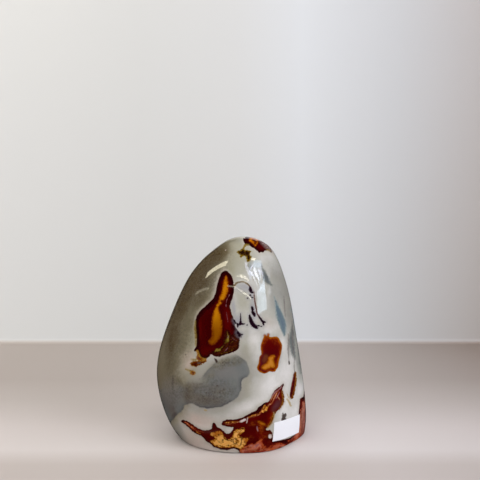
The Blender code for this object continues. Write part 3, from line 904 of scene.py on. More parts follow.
        Thread(((-0.6, 50.4, 0.2), (0.8, 51.6, 0.3), (2.4, 51.8, 0.2))),
        Thread(((-6.0, 44.6, 0.2), (-3.6, 45.4, 0.3), (-1.0, 46.2, 0.3), (1.4, 47.6, 0.2))),
    )),
    # Near-black dendrites in the pale middle, and others on the back.
    Layer("ink", (
        Thread(((10.2, 82.0, 0.7), (10.5, 80.6, 1.9), (11.0, 79.4, 1.7), (11.9, 78.6, 0.7))),
        *spots((9.0, 75.7, 1.1, 0.9), (10.5, 77.4, 1.1, 0.9), (8.7, 60.7, 0.9)),
        Thread(((11.0, 76.4, 0.7), (12.0, 76.0, 0.7))),
        Thread(((11.2, 70.9, 0.9), (11.6, 70.0, 1.6), (11.8, 68.8, 1.2))),
        Thread(((11.6, 67.9, 1.2), (12.4, 67.0, 1.9), (12.9, 65.8, 1.1))),
        Thread((
            (10.0, 66.2, 0.9), (10.4, 64.8, 1.7), (10.9, 63.0, 2.2), (11.8, 61.2, 2.4), (12.9, 60.0, 2.1),
            (14.4, 59.0, 1.1),
        )),
        Thread(((13.6, 60.6, 0.8), (15.2, 60.3, 0.8), (16.8, 60.0, 0.6))),
        Thread(((5.1, 67.4, 0.3), (5.0, 65.0, 0.8), (5.1, 63.0, 1.1), (5.0, 61.4, 1.7))),
        Thread((
            (1.4, 63.4, 1.0), (2.4, 61.8, 0.9), (3.6, 61.2, 1.0), (5.2, 61.3, 1.2), (7.2, 61.3, 0.8),
        )),
        Thread(((3.4, 61.4, 1.0), (3.5, 59.8, 1.1))),
        Thread(((3.4, 56.6, 1.4), (4.8, 55.6, 1.2), (6.2, 55.6, 0.7))),
        Thread(((3.9, 55.0, 1.2), (4.9, 54.4, 1.0), (5.6, 54.0, 0.5))),
        Thread(((15.2, 65.4, 0.8), (16.4, 64.0, 1.1), (17.2, 62.8, 1.4), (18.8, 62.4, 1.0))),
        Thread(((17.2, 62.8, 1.1), (18.0, 60.6, 0.8))),
        Thread((
            (12.0, 78.0, 1.2), (14.0, 72.0, 0.7), (13.0, 66.0, 0.9), (16.0, 60.0, 0.6), (15.0, 55.0, 0.4),
        ), Sheet.BACK, 0.0),
        Thread(((14.0, 70.0, 0.6), (18.0, 67.0, 0.8), (20.0, 68.0, 0.4)), Sheet.BACK, 0.0),
        Thread(((13.0, 65.0, 0.6), (9.8, 62.0, 0.9), (9.0, 59.0, 0.4)), Sheet.BACK, 0.0),
        *spots((19.0, 60.0, 1.6, 2.2), (21.0, 64.0, 1.0), sheet=Sheet.BACK, reach=0.0),
    )),
    # The bronze arc above the dendrites.
    Layer("bronze", (
        Thread((
            (1.6, 82.8, 1.3), (2.8, 84.0, 1.1), (4.4, 84.6, 0.9), (6.0, 84.9, 0.8), (7.6, 84.3, 0.8),
            (9.2, 83.4, 0.9), (10.2, 82.4, 0.8),
        )),
    )),
    # Thin red-brown veins beside the dendrites and across the back.
    Layer("vein", (
        Thread(((9.8, 83.0, 0.5), (10.6, 81.6, 0.8), (11.4, 80.4, 0.6))),
        Thread((
            (12.4, 79.8, 0.5), (12.6, 77.5, 0.6), (13.0, 74.0, 0.8), (13.7, 70.2, 0.8), (14.5, 66.8, 0.9),
            (15.6, 65.0, 1.0), (17.0, 63.1, 1.0),
        )),
        Thread(((-30.0, 34.0, 0.5), (-16.0, 41.0, 0.6), (-8.0, 44.0, 0.5)), Sheet.BACK, 0.0),
        Thread((
            (16.0, 22.0, 0.5), (6.0, 30.0, 0.6), (-6.0, 33.0, 0.6), (-14.0, 38.0, 0.5),
        ), Sheet.BACK, 0.0),
    )),
    # Thin grey seams down the right side.
    Layer("seam", (
        Thread(((29.1, 77.0, 0.3), (29.4, 73.0, 0.7), (29.6, 69.0, 0.7), (30.0, 65.6, 0.6))),
        Thread((
            (31.4, 56.0, 0.5), (31.7, 52.0, 0.9), (31.6, 48.0, 1.0), (31.7, 44.0, 0.8), (31.9, 40.5, 0.5),
        )),
        Thread(((34.9, 43.0, 0.4), (34.9, 39.0, 0.6), (35.0, 35.0, 0.6))),
        Thread(((33.7, 63.0, 0.4), (33.9, 56.0, 0.8), (34.1, 50.0, 0.8), (34.6, 44.0, 0.5))),
    )),
    # Salmon fibres along the band's arms and its tail.
    Layer("salmon", (
        Thread((
            (19.6, 15.6, 0.3), (21.4, 16.6, 0.6), (22.8, 18.0, 0.5), (23.8, 20.2, 0.7), (25.0, 22.6, 0.6),
            (26.6, 25.0, 0.2),
        )),
        Thread(((24.9, 22.2, 0.2), (25.9, 20.6, 0.5), (26.7, 19.2, 0.2))),
        Thread(((3.2, 6.7, 0.2), (5.4, 7.3, 0.4), (7.6, 8.3, 0.3))),
        Thread(((-3.8, 6.0, 0.2), (-2.0, 5.8, 0.4), (0.6, 6.1, 0.4), (3.2, 6.6, 0.3))),
        Thread((
            (8.9, 8.9, 0.3), (11.2, 9.7, 0.5), (13.6, 10.3, 0.6), (15.6, 11.1, 0.4), (16.8, 13.4, 0.4),
            (17.6, 15.2, 0.2),
        )),
        Thread((
            (-26.2, 6.8, 0.1), (-23.4, 5.0, 0.2), (-21.0, 2.9, 0.3), (-18.4, 1.5, 0.2), (-15.4, 1.1, 0.1),
        )),
        Thread(((21.8, 18.6, 0.1), (23.0, 21.2, 0.3), (24.6, 23.8, 0.1))),
    )),
    # Near-black dots and threads that break up the ochre.
    Layer("tracery", (
        Thread(((-4.6, -1.4, 0.2), (-3.0, -3.0, 0.4), (-1.2, -3.4, 0.4), (0.6, -4.4, 0.2))),
        Thread(((1.4, -2.0, 0.2), (1.0, -3.8, 0.4), (1.8, -5.8, 0.2))),
        Thread(((5.6, -2.6, 0.2), (5.5, -4.6, 0.4), (4.6, -6.6, 0.2))),
        Thread(((-7.6, -3.6, 0.2), (-6.4, -4.6, 0.3), (-4.4, -4.4, 0.2))),
        Thread(((0.8, -5.6, 0.2), (2.6, -5.2, 0.4), (3.4, -6.0, 0.2))),
        Thread(((2.0, 1.6, 0.2), (3.6, 1.2, 0.3), (5.6, 2.0, 0.2))),
        *spots(
            (-4.9, -3.4, 1.0), (-2.4, -2.9, 0.8, 1.1), (0.2, -3.0, 0.9), (2.4, -2.6, 1.0, 1.3),
            (5.6, -2.6, 0.8, 1.2), (5.4, -1.6, 1.2, 0.9), (6.1, 3.1, 1.3, 0.9), (3.9, 2.9, 0.8),
            (2.9, -4.4, 0.8), (5.2, -5.6, 0.9, 0.7), (-1.7, -6.3, 0.8), (-7.0, -0.4, 1.1, 0.8),
            (-6.2, -6.4, 0.9, 0.6), (7.4, -4.4, 0.8), (17.4, 14.0, 0.9), (18.9, 12.8, 0.8),
            (11.8, 9.9, 0.6),
        ),
    )),
    # Small pale marks in and near the band.
    Layer("chalk", (
        *spots((21.4, -1.2, 1.7, 2.3), (-3.2, 102.4, 0.6)),
        Patch(((4.2, 7.0), (5.2, 7.8), (6.8, 8.5), (8.0, 8.6), (8.0, 7.6), (6.6, 7.0), (5.2, 6.6))),
        Thread(((8.9, 9.4, 0.4), (8.8, 8.0, 0.5), (8.4, 6.2, 0.4))),
        Thread(((-2.1, 55.0, 0.3), (-1.8, 53.6, 0.4))),
    )),
    # Pale mauve hairlines in the dark red.
    Layer("lilac", (
        Thread((
            (22.2, 20.6, 0.3), (23.8, 22.8, 0.8), (25.4, 24.2, 0.7), (26.8, 25.2, 0.7), (28.2, 27.0, 0.3),
        )),
        Thread(((24.6, 19.6, 0.2), (25.8, 21.6, 0.5), (26.8, 23.6, 0.4))),
        Thread(((14.1, 4.4, 0.5), (14.3, 3.2, 0.9), (14.7, 1.6, 0.5))),
        Thread(((12.8, -7.4, 0.4), (14.0, -6.4, 1.0), (15.2, -5.4, 0.5))),
        Thread(((10.2, -6.6, 0.3), (11.6, -6.0, 0.5), (12.6, -5.8, 0.2))),
        Thread(((-0.8, 77.9, 0.2), (-1.5, 76.9, 0.4), (-1.9, 76.2, 0.2))),
        Thread(((-2.3, 75.4, 0.2), (-2.7, 74.4, 0.4), (-2.8, 73.4, 0.2))),
        Thread(((-3.0, 72.6, 0.3), (-3.0, 71.4, 0.6), (-2.8, 70.6, 0.2))),
        Thread(((-2.9, 68.0, 0.2), (-2.4, 65.0, 0.3), (-2.0, 62.4, 0.2))),
        Thread(((-0.3, 54.6, 0.2), (1.2, 53.0, 0.4), (2.8, 52.0, 0.2))),
        Thread(((-2.0, 48.2, 0.2), (-3.0, 47.0, 0.4), (-4.2, 45.8, 0.2))),
    )),
)


def put(name: str, data: bpy.types.ID) -> bpy.types.Object:
    """Makes an object and puts it in the scene, at the origin.

    Args:
        name: its name.
        data: its mesh, light or camera.

    Returns:
        The object.
    """
    made = bpy.data.objects.new(name, data)
    bpy.context.collection.objects.link(made)
    return made


@dataclass
class StoneSkin:
    """The polished stone: its outlines, its fine mesh, and the markings stored on that mesh."""

    name: str = "polished_jasper"
    # Seen from the front: (x, z) from the left end of the base, over the top, to the right end.
    front_points: Points = (
        (-28.9, 0.0), (-32.5, 5.0), (-36.1, 12.0), (-39.5, 22.0), (-41.3, 36.0), (-39.2, 50.0),
        (-34.5, 64.0), (-28.7, 78.0), (-22.1, 90.0), (-14.6, 98.7), (-7.5, 104.6), (-1.0, 108.6),
        (6.4, 110.1), (13.9, 108.8), (20.3, 105.2), (24.9, 99.2), (28.8, 90.0), (32.3, 78.0),
        (34.9, 64.0), (37.1, 50.0), (39.3, 36.0), (41.0, 22.0), (41.7, 12.0), (41.5, 5.0), (40.8, 0.0),
    )
    # Seen from its side: (y, z) from the front of the base, over the top, to the back.
    side_points: Points = (
        (-24.3, 0.0), (-26.0, 5.0), (-27.5, 13.0), (-28.3, 26.0), (-28.1, 38.0), (-26.9, 50.0),
        (-24.6, 64.0), (-21.2, 78.0), (-17.0, 90.0), (-12.2, 98.9), (-7.4, 104.8), (-2.6, 108.7),
        (2.2, 110.1), (7.2, 108.7), (12.0, 104.9), (16.6, 98.9), (20.6, 90.0), (24.2, 78.0),
        (26.7, 64.0), (28.0, 50.0), (28.3, 36.0), (27.8, 22.0), (26.6, 10.0), (25.2, 0.0),
    )
    # Soft flats from the grinding wheel: the way each faces in degrees, and how far out it lies.
    soft_flats: Points = ((-31.0, 0.90), (55.0, 0.98), (140.0, 0.97), (208.0, 1.09))
    flat_crispness: float = 14.0
    flats_fade_from: float = 84.0
    # The small round between the flat underside and the wall.
    edge_round: float = 0.9
    # How finely the skin is divided, and how much closer together the columns lie on its front.
    columns: int = 416
    front_share: float = 0.3
    wall_rings: int = 212
    edge_rings: int = 5
    base_rings: int = 14
    # How finely an outline, a section's reach and the flank's length are measured.
    curve_samples: int = 1600
    probe_steps: int = 720
    height_steps: int = 400

    def __post_init__(self) -> None:
        """Reads the two outlines into tables of the stone's sides by height."""
        self.front = self._sides(self.front_points)
        self.side = self._sides(self.side_points)
        self.top = max(z for _, z in self.front_points)

    def _sides(self, points: Points) -> Sides:
        """Parts one outline into its two sides.

        Args:
            points: the outline.

        Returns:
            The low side and the high side, each from the base up to the top.
        """
        curve = smooth_curve(np.array(points, float), self.curve_samples)
        peak = int(np.argmax(curve[:, 1]))
        return curve[: peak + 1], curve[peak:][::-1]

    def _reach(self, sides: Sides, height: float) -> tuple[float, float]:
        """The low and the high coordinate of one outline at this height."""
        low, high = [float(np.interp(height, part[:, 1], part[:, 0])) for part in sides]
        return low, high

    def _section(self, angles: np.ndarray, height: float) -> tuple[np.ndarray, np.ndarray]:
        """The section's outline: a circle with soft flats, which fade near the top.

        Args:
            angles: the directions from its middle, in radians.
            height: how high the section is, in millimetres.

        Returns:
            Its two coordinates in each direction, in a box from -1 to 1.
        """
        fade = float(eased((self.top - height) / (self.top - self.flats_fade_from)))
        total = np.ones_like(angles)
        for facing, distance in self.soft_flats:
            across = np.maximum(np.cos(angles - math.radians(facing)), 0.0)
            total += fade * (across / (1 - (1 - distance) * fade)) ** self.flat_crispness
        radius = total ** (-1 / self.flat_crispness)
        return radius * np.cos(angles), radius * np.sin(angles)

    def _ring(self, height: float, inset: float) -> np.ndarray:
        """One level ring of the skin, with more columns on the front.

        Args:
            height: how high it is, in millimetres.
            inset: how far it is drawn in, in millimetres.

        Returns:
            Its points, one to a row.
        """
        even = np.linspace(0.0, math.tau, self.columns, endpoint=False)
        angles = even - self.front_share * np.cos(even)
        probes = self._section(np.linspace(0.0, math.tau, self.probe_steps, endpoint=False), height)
        rows = []
        for values, probe, sides in zip(self._section(angles, height), probes, (self.front, self.side)):
            low, high = self._reach(sides, height)
            share = (values - probe.min()) / np.ptp(probe)
            rows.append(low + inset + share * (high - low - 2 * inset))
        return np.column_stack([*rows, np.full(self.columns, height)])

    def _wall_heights(self) -> np.ndarray:
        """Heights for the wall's rings, evenly spaced along the flank.

        Returns:
            The heights, from the edge's round up to just below the top.
        """
        share = np.linspace(0.0, 1.0, self.height_steps)
        heights = self.edge_round + (self.top - self.edge_round) * (1 - (1 - share) ** 2)
        half = np.array([np.ptp(self._reach(self.front, h)) / 2 for h in heights])
        length = np.concatenate([[0.0], np.cumsum(np.hypot(np.diff(half), np.diff(heights)))])
        return np.interp(np.linspace(0.0, length[-1], self.wall_rings + 1)[:-1], length, heights)

    def _places(self) -> np.ndarray:
        """Where every vertex of the skin lies.

        Returns:
            The underside's middle, its rings, the round edge, the wall and the top, one to a row.
        """
        rim = self._ring(0.0, self.edge_round)
        middle = (rim.min(0) + rim.max(0)) / 2
        rings = [middle + (rim - middle) * step / self.base_rings for step in range(1, self.base_rings)]
        for step in range(self.edge_rings):
            turn = math.pi / 2 * step / self.edge_rings
            height = self.edge_round * (1 - math.cos(turn))
            rings.append(self._ring(height, self.edge_round * (1 - math.sin(turn))))
        rings += [self._ring(height, 0.0) for height in self._wall_heights()]
        peak = (self._reach(self.front, self.top)[0], self._reach(self.side, self.top)[0], self.top)
        return np.vstack([middle[None], *rings, np.array([peak])])

    def build(self, finish: bpy.types.Material) -> bpy.types.Object:
        """Makes the stone's object, with its markings stored on its mesh.

        Args:
            finish: the stone's material.

        Returns:
            The stone, at the origin.
        """
        places = self._places()
        count = (len(places) - 2) // self.columns
        first = np.arange(self.columns)
        then = np.roll(first, -1)
        lower = 1 + self.columns * np.arange(count - 1)[:, None]
        upper = lower + self.columns
        quads = np.stack([lower + first, lower + then, upper + then, upper + first], axis=-1)
        last = 1 + self.columns * (count - 1)
        faces = [(0, 1 + b, 1 + a) for a, b in zip(first, then)]
        faces += quads.reshape(-1, 4).tolist()
        faces += [(last + a, last + b, len(places) - 1) for a, b in zip(first, then)]
        mesh = bpy.data.meshes.new(self.name)
        mesh.from_pydata((places * MM).tolist(), [], faces)
        mesh.shade_smooth()
        mesh.set_sharp_from_angle(angle=math.radians(CREASE_ANGLE))
        for marking in (*LAYERS, *HAZES):
            stored = mesh.attributes.new(marking.name, "FLOAT", "POINT")
            stored.data.foreach_set("value", marking.values(places).astype(np.float32))
        mesh.materials.append(finish)
        return put(self.name, mesh)


def add_node(tree: Tree, kind: str, inputs: dict | None = None, stops: Stops = (),
             **settings: object) -> bpy.types.Node:
    """Adds one node, with its settings, its values and its links.

    Args:
        tree: the tree that the node goes into.
        kind: the node's type.
        inputs: a value or another node's socket, for each input by name or number.
        stops: for a colour ramp, its colours at depths in millimetres, as shares of the last depth.
        settings: the node's own properties.

    Returns:
        The node.
    """
    node = tree.nodes.new(kind)
    for name, value in settings.items():
        setattr(node, name, value)
    for name, value in (inputs or {}).items():
        if isinstance(value, Socket):
            tree.links.new(value, node.inputs[name])
        else:
            node.inputs[name].default_value = value
    bar = node.color_ramp.elements if stops else []
    while len(bar) < len(stops):
        bar.new(0.5)
    for element, (place, code) in zip(bar, stops):
        element.position = place / stops[-1][0]
        element.color = linear(code)
    return node


def start_material(name: str, roughness: float) -> tuple[bpy.types.Material, bpy.types.Node]:
    """Starts a material.

    Args:
        name: its name.
        roughness: how rough its surface is.

    Returns:
        The material and its surface shader.
    """
    material = bpy.data.materials.new(name)
    material.use_nodes = True
    shader = material.node_tree.nodes["Principled BSDF"]
    shader.inputs["Roughness"].default_value = roughness
    return material, shader


class Grain(Enum):
    """The sizes of natural variation in the stone, in millimetres."""

    FINE = 0.45
    SMALL = 1.1
    MEDIUM = 2.8
    BROAD = 7.5
    WIDE = 19.0


@dataclass(frozen=True)
class Wash:
    """A soft wash of colour where a haze lies.

    Attributes:
        haze: the attribute that holds its density.
        colour: its colour.
        strength: how much of what is under it is covered.
        ragged: how much its density varies.
        grain: the size of that variation.
    """

    haze: str
    colour: str
    strength: float = 1.0
    ragged: float = 0.35
    grain: Grain = Grain.BROAD

    def paint(self, tree: Tree, under: Socket, grains: dict[Grain, Socket]) -> Socket:
        """Lays this wash over a colour.

        Args:
            tree: the material's tree.
            under: the colour below.
            grains: one signal of variation, from -1 to 1, for each grain.

        Returns:
            The colour after this wash.
        """
        read = add_node(tree, "ShaderNodeAttribute", attribute_name=self.haze)
        swing = add_node(tree, "ShaderNodeMath", {
            0: grains[self.grain], 1: self.ragged * self.strength, 2: self.strength,
        }, operation="MULTIPLY_ADD")
        cover = add_node(tree, "ShaderNodeMath", {
            0: read.outputs["Fac"], 1: swing.outputs[0],
        }, operation="MULTIPLY", use_clamp=True)
        over = add_node(tree, "ShaderNodeMix", {
            SHARE: cover.outputs[0], UNDER: under, OVER: linear(self.colour),
        }, data_type="RGBA")
        return over.outputs[MIXED]


@dataclass(frozen=True)
class Tint:
    """How one layer of markings is coloured, from its edge inwards.

    Attributes:
        layer: the attribute that holds the distance.
        stops: colours at depths in millimetres.
        edge: the width of the soft edge.
        offset: how far outside its drawn edge it starts.
        crinkle: how far the edge wanders.
        crinkle_grain: the size of that wandering.
        drift: how far the colours wander in depth.
        drift_grain: the size of that drift.
        strength: how much of what is under it is covered.
        haze: the haze in which it takes its other colours.
        hazed: those colours.
        within: a haze that it shows only within.
    """

    layer: str
    stops: Stops
    edge: float = 0.35
    offset: float = 0.0
    crinkle: float = 0.25
    crinkle_grain: Grain = Grain.SMALL
    drift: float = 0.5
    drift_grain: Grain = Grain.MEDIUM
    strength: float = 1.0
    haze: str = ""
    hazed: Stops = ()
    within: str = ""

    def _cover(self, tree: Tree, distance: Socket) -> Socket:
        """How much of what is under it is covered.

        Args:
            tree: the material's tree.
            distance: the distance to its edge.

        Returns:
            The share that is covered, from 0 to 1.
        """
        cover = add_node(tree, "ShaderNodeMapRange", {
            "Value": distance, "From Min": self.offset + self.edge / 2,
            "From Max": self.offset - self.edge / 2, "To Max": self.strength,
        }, interpolation_type="SMOOTHSTEP").outputs[0]
        if not self.within:
            return cover
        body = add_node(tree, "ShaderNodeAttribute", attribute_name=self.within)
        kept = add_node(tree, "ShaderNodeMath", {0: cover, 1: body.outputs["Fac"]}, operation="MULTIPLY")
        return kept.outputs[0]

    def paint(self, tree: Tree, under: Socket, grains: dict[Grain, Socket]) -> Socket:
        """Lays this colour over another.

        Args:
            tree: the material's tree.
            under: the colour below.
            grains: one signal of variation, from -1 to 1, for each grain.

        Returns:
            The colour after this layer.
        """
        read = add_node(tree, "ShaderNodeAttribute", attribute_name=self.layer)
        wander = add_node(tree, "ShaderNodeMath", {
            0: grains[self.crinkle_grain], 1: self.crinkle, 2: read.outputs["Fac"],
        }, operation="MULTIPLY_ADD")
        drifted = add_node(tree, "ShaderNodeMath", {
            0: grains[self.drift_grain], 1: self.drift, 2: wander.outputs[0],
        }, operation="MULTIPLY_ADD")
        depth = add_node(tree, "ShaderNodeMapRange", {
            "Value": drifted.outputs[0], "From Min": self.offset,
            "From Max": self.offset - self.stops[-1][0],
        })
        tones = add_node(tree, "ShaderNodeValToRGB", {"Fac": depth.outputs[0]}, self.stops)
        colour = tones.outputs["Color"]
        if self.haze:
            where = add_node(tree, "ShaderNodeAttribute", attribute_name=self.haze)
            others = add_node(tree, "ShaderNodeValToRGB", {"Fac": depth.outputs[0]}, self.hazed)
            colour = add_node(tree, "ShaderNodeMix", {
                SHARE: where.outputs["Fac"], UNDER: colour, OVER: others.outputs["Color"],
            }, data_type="RGBA").outputs[MIXED]
        over = add_node(tree, "ShaderNodeMix", {
            SHARE: self._cover(tree, wander.outputs[0]), UNDER: under, OVER: colour,
        }, data_type="RGBA")
        return over.outputs[MIXED]


@dataclass(frozen=True)
class PolishedJasper:
    """Jasper ground and polished to a gloss: a hard glassy face over cloudy stone with sharp markings."""

    name: str = "polished_jasper"
    creams: tuple[str, str, str] = ("b9b7af", "b0aea3", "c1bfbb")
    # The variation's own finer detail, and the part of its range that is spread from -1 to 1.
    detail: float = 3.0
    detail_weight: float = 0.55
    grain_range: tuple[float, float] = (0.3, 0.7)
    # From where in the broad variation the third cream shows, and how far fine grain shifts the tone.
    third_from: float = -0.4
    freckle: float = 0.05
    roughness: float = 0.04
    ior: float = 1.54
    paints: tuple[Wash | Tint, ...] = (
        Wash("khaki", "9c9882", 0.85),
        Wash("lavender", "9b9aa0", 0.7),
        # The pale wash also lays painted bounce light along the base.
        Wash("pale", "d9d6d3", 0.87),
        Wash("blush", "ccb9af", 0.85),
        # Painted shade and a painted dark reflection at the right edge, the top and the base on the left,
        # over the greyer upper right.
        Wash("shade", "868780", 0.75),
        Tint("slate", ((0.0, "8f8b82"), (9.0, "8f8b82")), edge=13.0, offset=5.0, strength=0.62,
             crinkle=0.6, crinkle_grain=Grain.BROAD),
        # Smoky brown, and on the left side partly painted shade.
        Tint("smoke_and_shade", ((0.0, "968e78"), (2.4, "7e7660"), (5.5, "706852"), (12.0, "746a55")), edge=8.0,
             offset=1.5, crinkle=1.0, crinkle_grain=Grain.BROAD, drift=1.6, strength=0.96, haze="umber",
             hazed=((0.0, "74674a"), (2.4, "57451e"), (6.0, "44330c"), (12.0, "4c3a16"))),
        Tint("slate", ((0.0, "86867e"), (1.5, "7e807b"), (4.0, "727574"), (10.0, "6d7072")), edge=4.6,
             offset=-1.0, crinkle=0.6, crinkle_grain=Grain.MEDIUM, drift=1.6, drift_grain=Grain.BROAD,
             strength=0.95, haze="dusk",
             hazed=((0.0, "7e776c"), (1.5, "726b62"), (4.0, "68615b"), (10.0, "655e59"))),
        Tint("slate",
             ((0.0, "4e5054"), (0.6, "646768"), (2.0, "707373"), (6.0, "6c7070"), (12.0, "6e7072")),
             edge=0.9, offset=0.2, crinkle=0.35, crinkle_grain=Grain.MEDIUM, drift=0.9,
             drift_grain=Grain.BROAD, strength=0.95, haze="dusk",
             hazed=((0.0, "4c484a"), (0.6, "5c5856"), (2.0, "66605d"), (6.0, "625c5a"), (12.0, "605a58")),
             within="slate_edge"),
        Wash("umber", "3c2a0e", 0.3, 1.8, Grain.MEDIUM),
        Wash("umber", "86785c", 0.1, 2.2, Grain.SMALL),
        Wash("mottle", "6c6248", 0.34, 1.2, Grain.MEDIUM),
        Wash("mottle", "4c4438", 0.18, 2.0, Grain.SMALL),
        Wash("ash", "7c7a78", 0.75, 0.3),
        Wash("smudge", "43383a", 0.42, 0.5, Grain.SMALL),
        Wash("flecked", "3a302a", 0.17, 2.2, Grain.SMALL),
        Wash("flecked", "b8b0a2", 0.05, 3.6, Grain.FINE),
        Wash("flecked", "2e2620", 0.08, 2.6, Grain.FINE),
        Tint("teal", ((0.0, "8a9696"), (0.6, "647880"), (2.2, "526678")), edge=1.2, crinkle=0.3,
             strength=0.92),
        Tint("pewter", ((0.0, "84867f"), (0.7, "666b68"), (1.6, "50565a")), edge=1.3, crinkle=0.3,
             drift=0.6, strength=0.9),
        Tint("mahogany", ((0.0, "b8aea2"), (1.0, "b8aea2")), edge=1.8, offset=0.9, crinkle=0.3,
             strength=0.5),
        Tint("mahogany",
             ((0.0, "300806"), (0.5, "240004"), (1.4, "260002"), (3.0, "420102"), (7.0, "3a0001")),
             edge=0.35, crinkle=0.2, drift=0.8, haze="ember",
             hazed=((0.0, "541c0a"), (0.5, "5a1404"), (1.4, "600c02"), (3.0, "5c0402"), (7.0, "540402"))),
        Tint("rust",
             ((0.0, "96601c"), (0.5, "8a4006"), (1.1, "641404"), (2.2, "4c0408"), (5.0, "4c0306")),
             edge=0.35, crinkle=0.12, drift=0.35, haze="ember",
             hazed=((0.0, "a0681c"), (0.6, "944604"), (1.4, "701a02"), (2.6, "580602"), (5.0, "540202"))),
        Wash("mauve", "5a1a2c", 0.45, 0.4, Grain.SMALL),
        Wash("kindled", "8c3c0c", 0.38, 1.8, Grain.SMALL),
        Tint("garnet", ((0.0, "7a4434"), (0.35, "5c1a16"), (0.8, "4a0808")), edge=0.35, crinkle=0.12),
        Tint("cocoa", ((0.0, "4c140c"), (1.5, "6a341c")), edge=2.2, crinkle=0.2, strength=0.8),
        Tint("honey", ((0.0, "7a3404"), (0.6, "985208"), (1.3, "b87420"), (2.0, "c07c2a")), edge=1.3,
             offset=0.3, crinkle=0.15, drift=0.3, drift_grain=Grain.SMALL),
        Tint("sienna", ((0.0, "8a6420"), (0.5, "6a2c04"), (1.1, "3c1002")), edge=0.5, offset=0.35,
             crinkle=0.35, drift=0.4, drift_grain=Grain.SMALL),
        Tint("bark",
             ((0.0, "200402"), (0.6, "3c0c04"), (1.4, "2a0c04"), (2.2, "461c06"), (3.2, "300a04")),
             edge=0.8, crinkle=0.4, drift=1.2, drift_grain=Grain.SMALL, strength=0.92),
        Tint("plum", ((0.0, "50201e"), (2.0, "583034")), edge=1.8, crinkle=0.3, strength=0.8),
        Tint("amber", ((0.0, "6a2800"), (0.5, "985002"), (1.0, "b87008"), (2.0, "c07c06")), edge=0.9,
             crinkle=0.2, drift=0.3, drift_grain=Grain.SMALL, haze="depth",
             hazed=((0.0, "5a1c00"), (0.7, "723400"), (1.4, "804400"), (2.0, "8a4e00"))),
        # Where the dusk haze lies the terracotta takes darker tones: at the foot's right edge this is
        # painted shade on the rounding.
        Tint("terracotta",
             ((0.0, "6a160a"), (0.5, "9c3c18"), (1.4, "b4552e"), (2.6, "bc6a4c"), (3.8, "92301a")),
             edge=0.7, crinkle=0.45, drift=1.8, drift_grain=Grain.MEDIUM, haze="dusk",
             hazed=((0.0, "4c1c16"), (0.5, "8c503e"), (1.4, "a66e5a"), (2.6, "9c6654"), (3.8, "80463a"))),
        Wash("rosy", "c88a7e", 0.32, 1.4, Grain.SMALL),
        Wash("clotted", "560e06", 0.7, 1.4, Grain.SMALL),
        Tint("ochre", ((0.0, "94521a"), (0.5, "c8862e"), (1.2, "f0b662"), (2.4, "e8aa56")), edge=0.5,
             crinkle=0.25, drift=0.8, drift_grain=Grain.SMALL, haze="depth",
             hazed=((0.0, "7a360c"), (0.5, "a05412"), (1.2, "b0661c"), (2.4, "a85c18"))),
        Tint("salmon", ((0.0, "8e4626"), (0.35, "c8845c")), edge=0.4, offset=0.1, crinkle=0.25,
             crinkle_grain=Grain.FINE, strength=0.85),
        Tint("tracery", ((0.0, "5e3616"), (0.3, "2a0e08")), edge=0.4, offset=0.1, crinkle=0.2,
             crinkle_grain=Grain.FINE, strength=0.82),
        Tint("olive", ((0.0, "866e18"), (0.5, "5e4608"), (1.0, "38200a"), (1.6, "1e0a04")), edge=0.5,
             crinkle=0.25, drift=0.4, drift_grain=Grain.SMALL),
        Tint("soot", ((0.0, "5a4c42"), (0.5, "382822")), edge=0.6, crinkle=0.2, strength=0.95),
        Tint("straw", ((0.0, "b09c72"), (0.5, "a8905c")), edge=0.6, crinkle=0.2, strength=0.85),
        Tint("moss", ((0.0, "928040"), (0.6, "7a5c14"), (1.4, "5e3408")), edge=1.0, offset=0.2,
             crinkle=0.2, strength=0.88, drift=0.5, drift_grain=Grain.SMALL),
        Tint("tawny", ((0.0, "a07a34"), (0.5, "86540e"), (1.0, "743606"), (1.6, "561c04")), edge=0.8,
             offset=0.2, crinkle=0.25, drift=0.6, drift_grain=Grain.SMALL, strength=0.95),
        Tint("reed", ((0.0, "5c4a10"), (0.4, "86762c")), edge=0.4, crinkle=0.2, strength=0.8),
        Tint("ink", ((0.0, "8c8994"), (1.0, "8c8994")), edge=2.2, offset=0.7, crinkle=0.3, strength=0.35),
        Tint("bronze", ((0.0, "7c6a48"), (0.5, "5a4626")), edge=0.5, crinkle=0.15, strength=0.9),
        Tint("vein", ((0.0, "6a4a40"), (0.4, "563230")), edge=0.4, crinkle=0.12),
        Tint("seam", ((0.0, "7a706a"), (0.4, "66605e")), edge=0.6, crinkle=0.15, strength=0.62),
        Tint("ink", ((0.0, "2a1526"), (0.5, "170410")), edge=0.35, crinkle=0.22,
             crinkle_grain=Grain.FINE),
        Tint("chalk", ((0.0, "c8b0a8"), (0.6, "dad2d0")), edge=0.5, crinkle=0.15, strength=0.85),
        Tint("lilac", ((0.0, "8a5c62"), (0.4, "a07a78")), edge=0.4, crinkle=0.1, strength=0.7),
        # Painted sheen: a pale reflection laid over the red at the top.
        Wash("painted_sheen", "a89490", 0.66, 0.8, Grain.SMALL),
    )

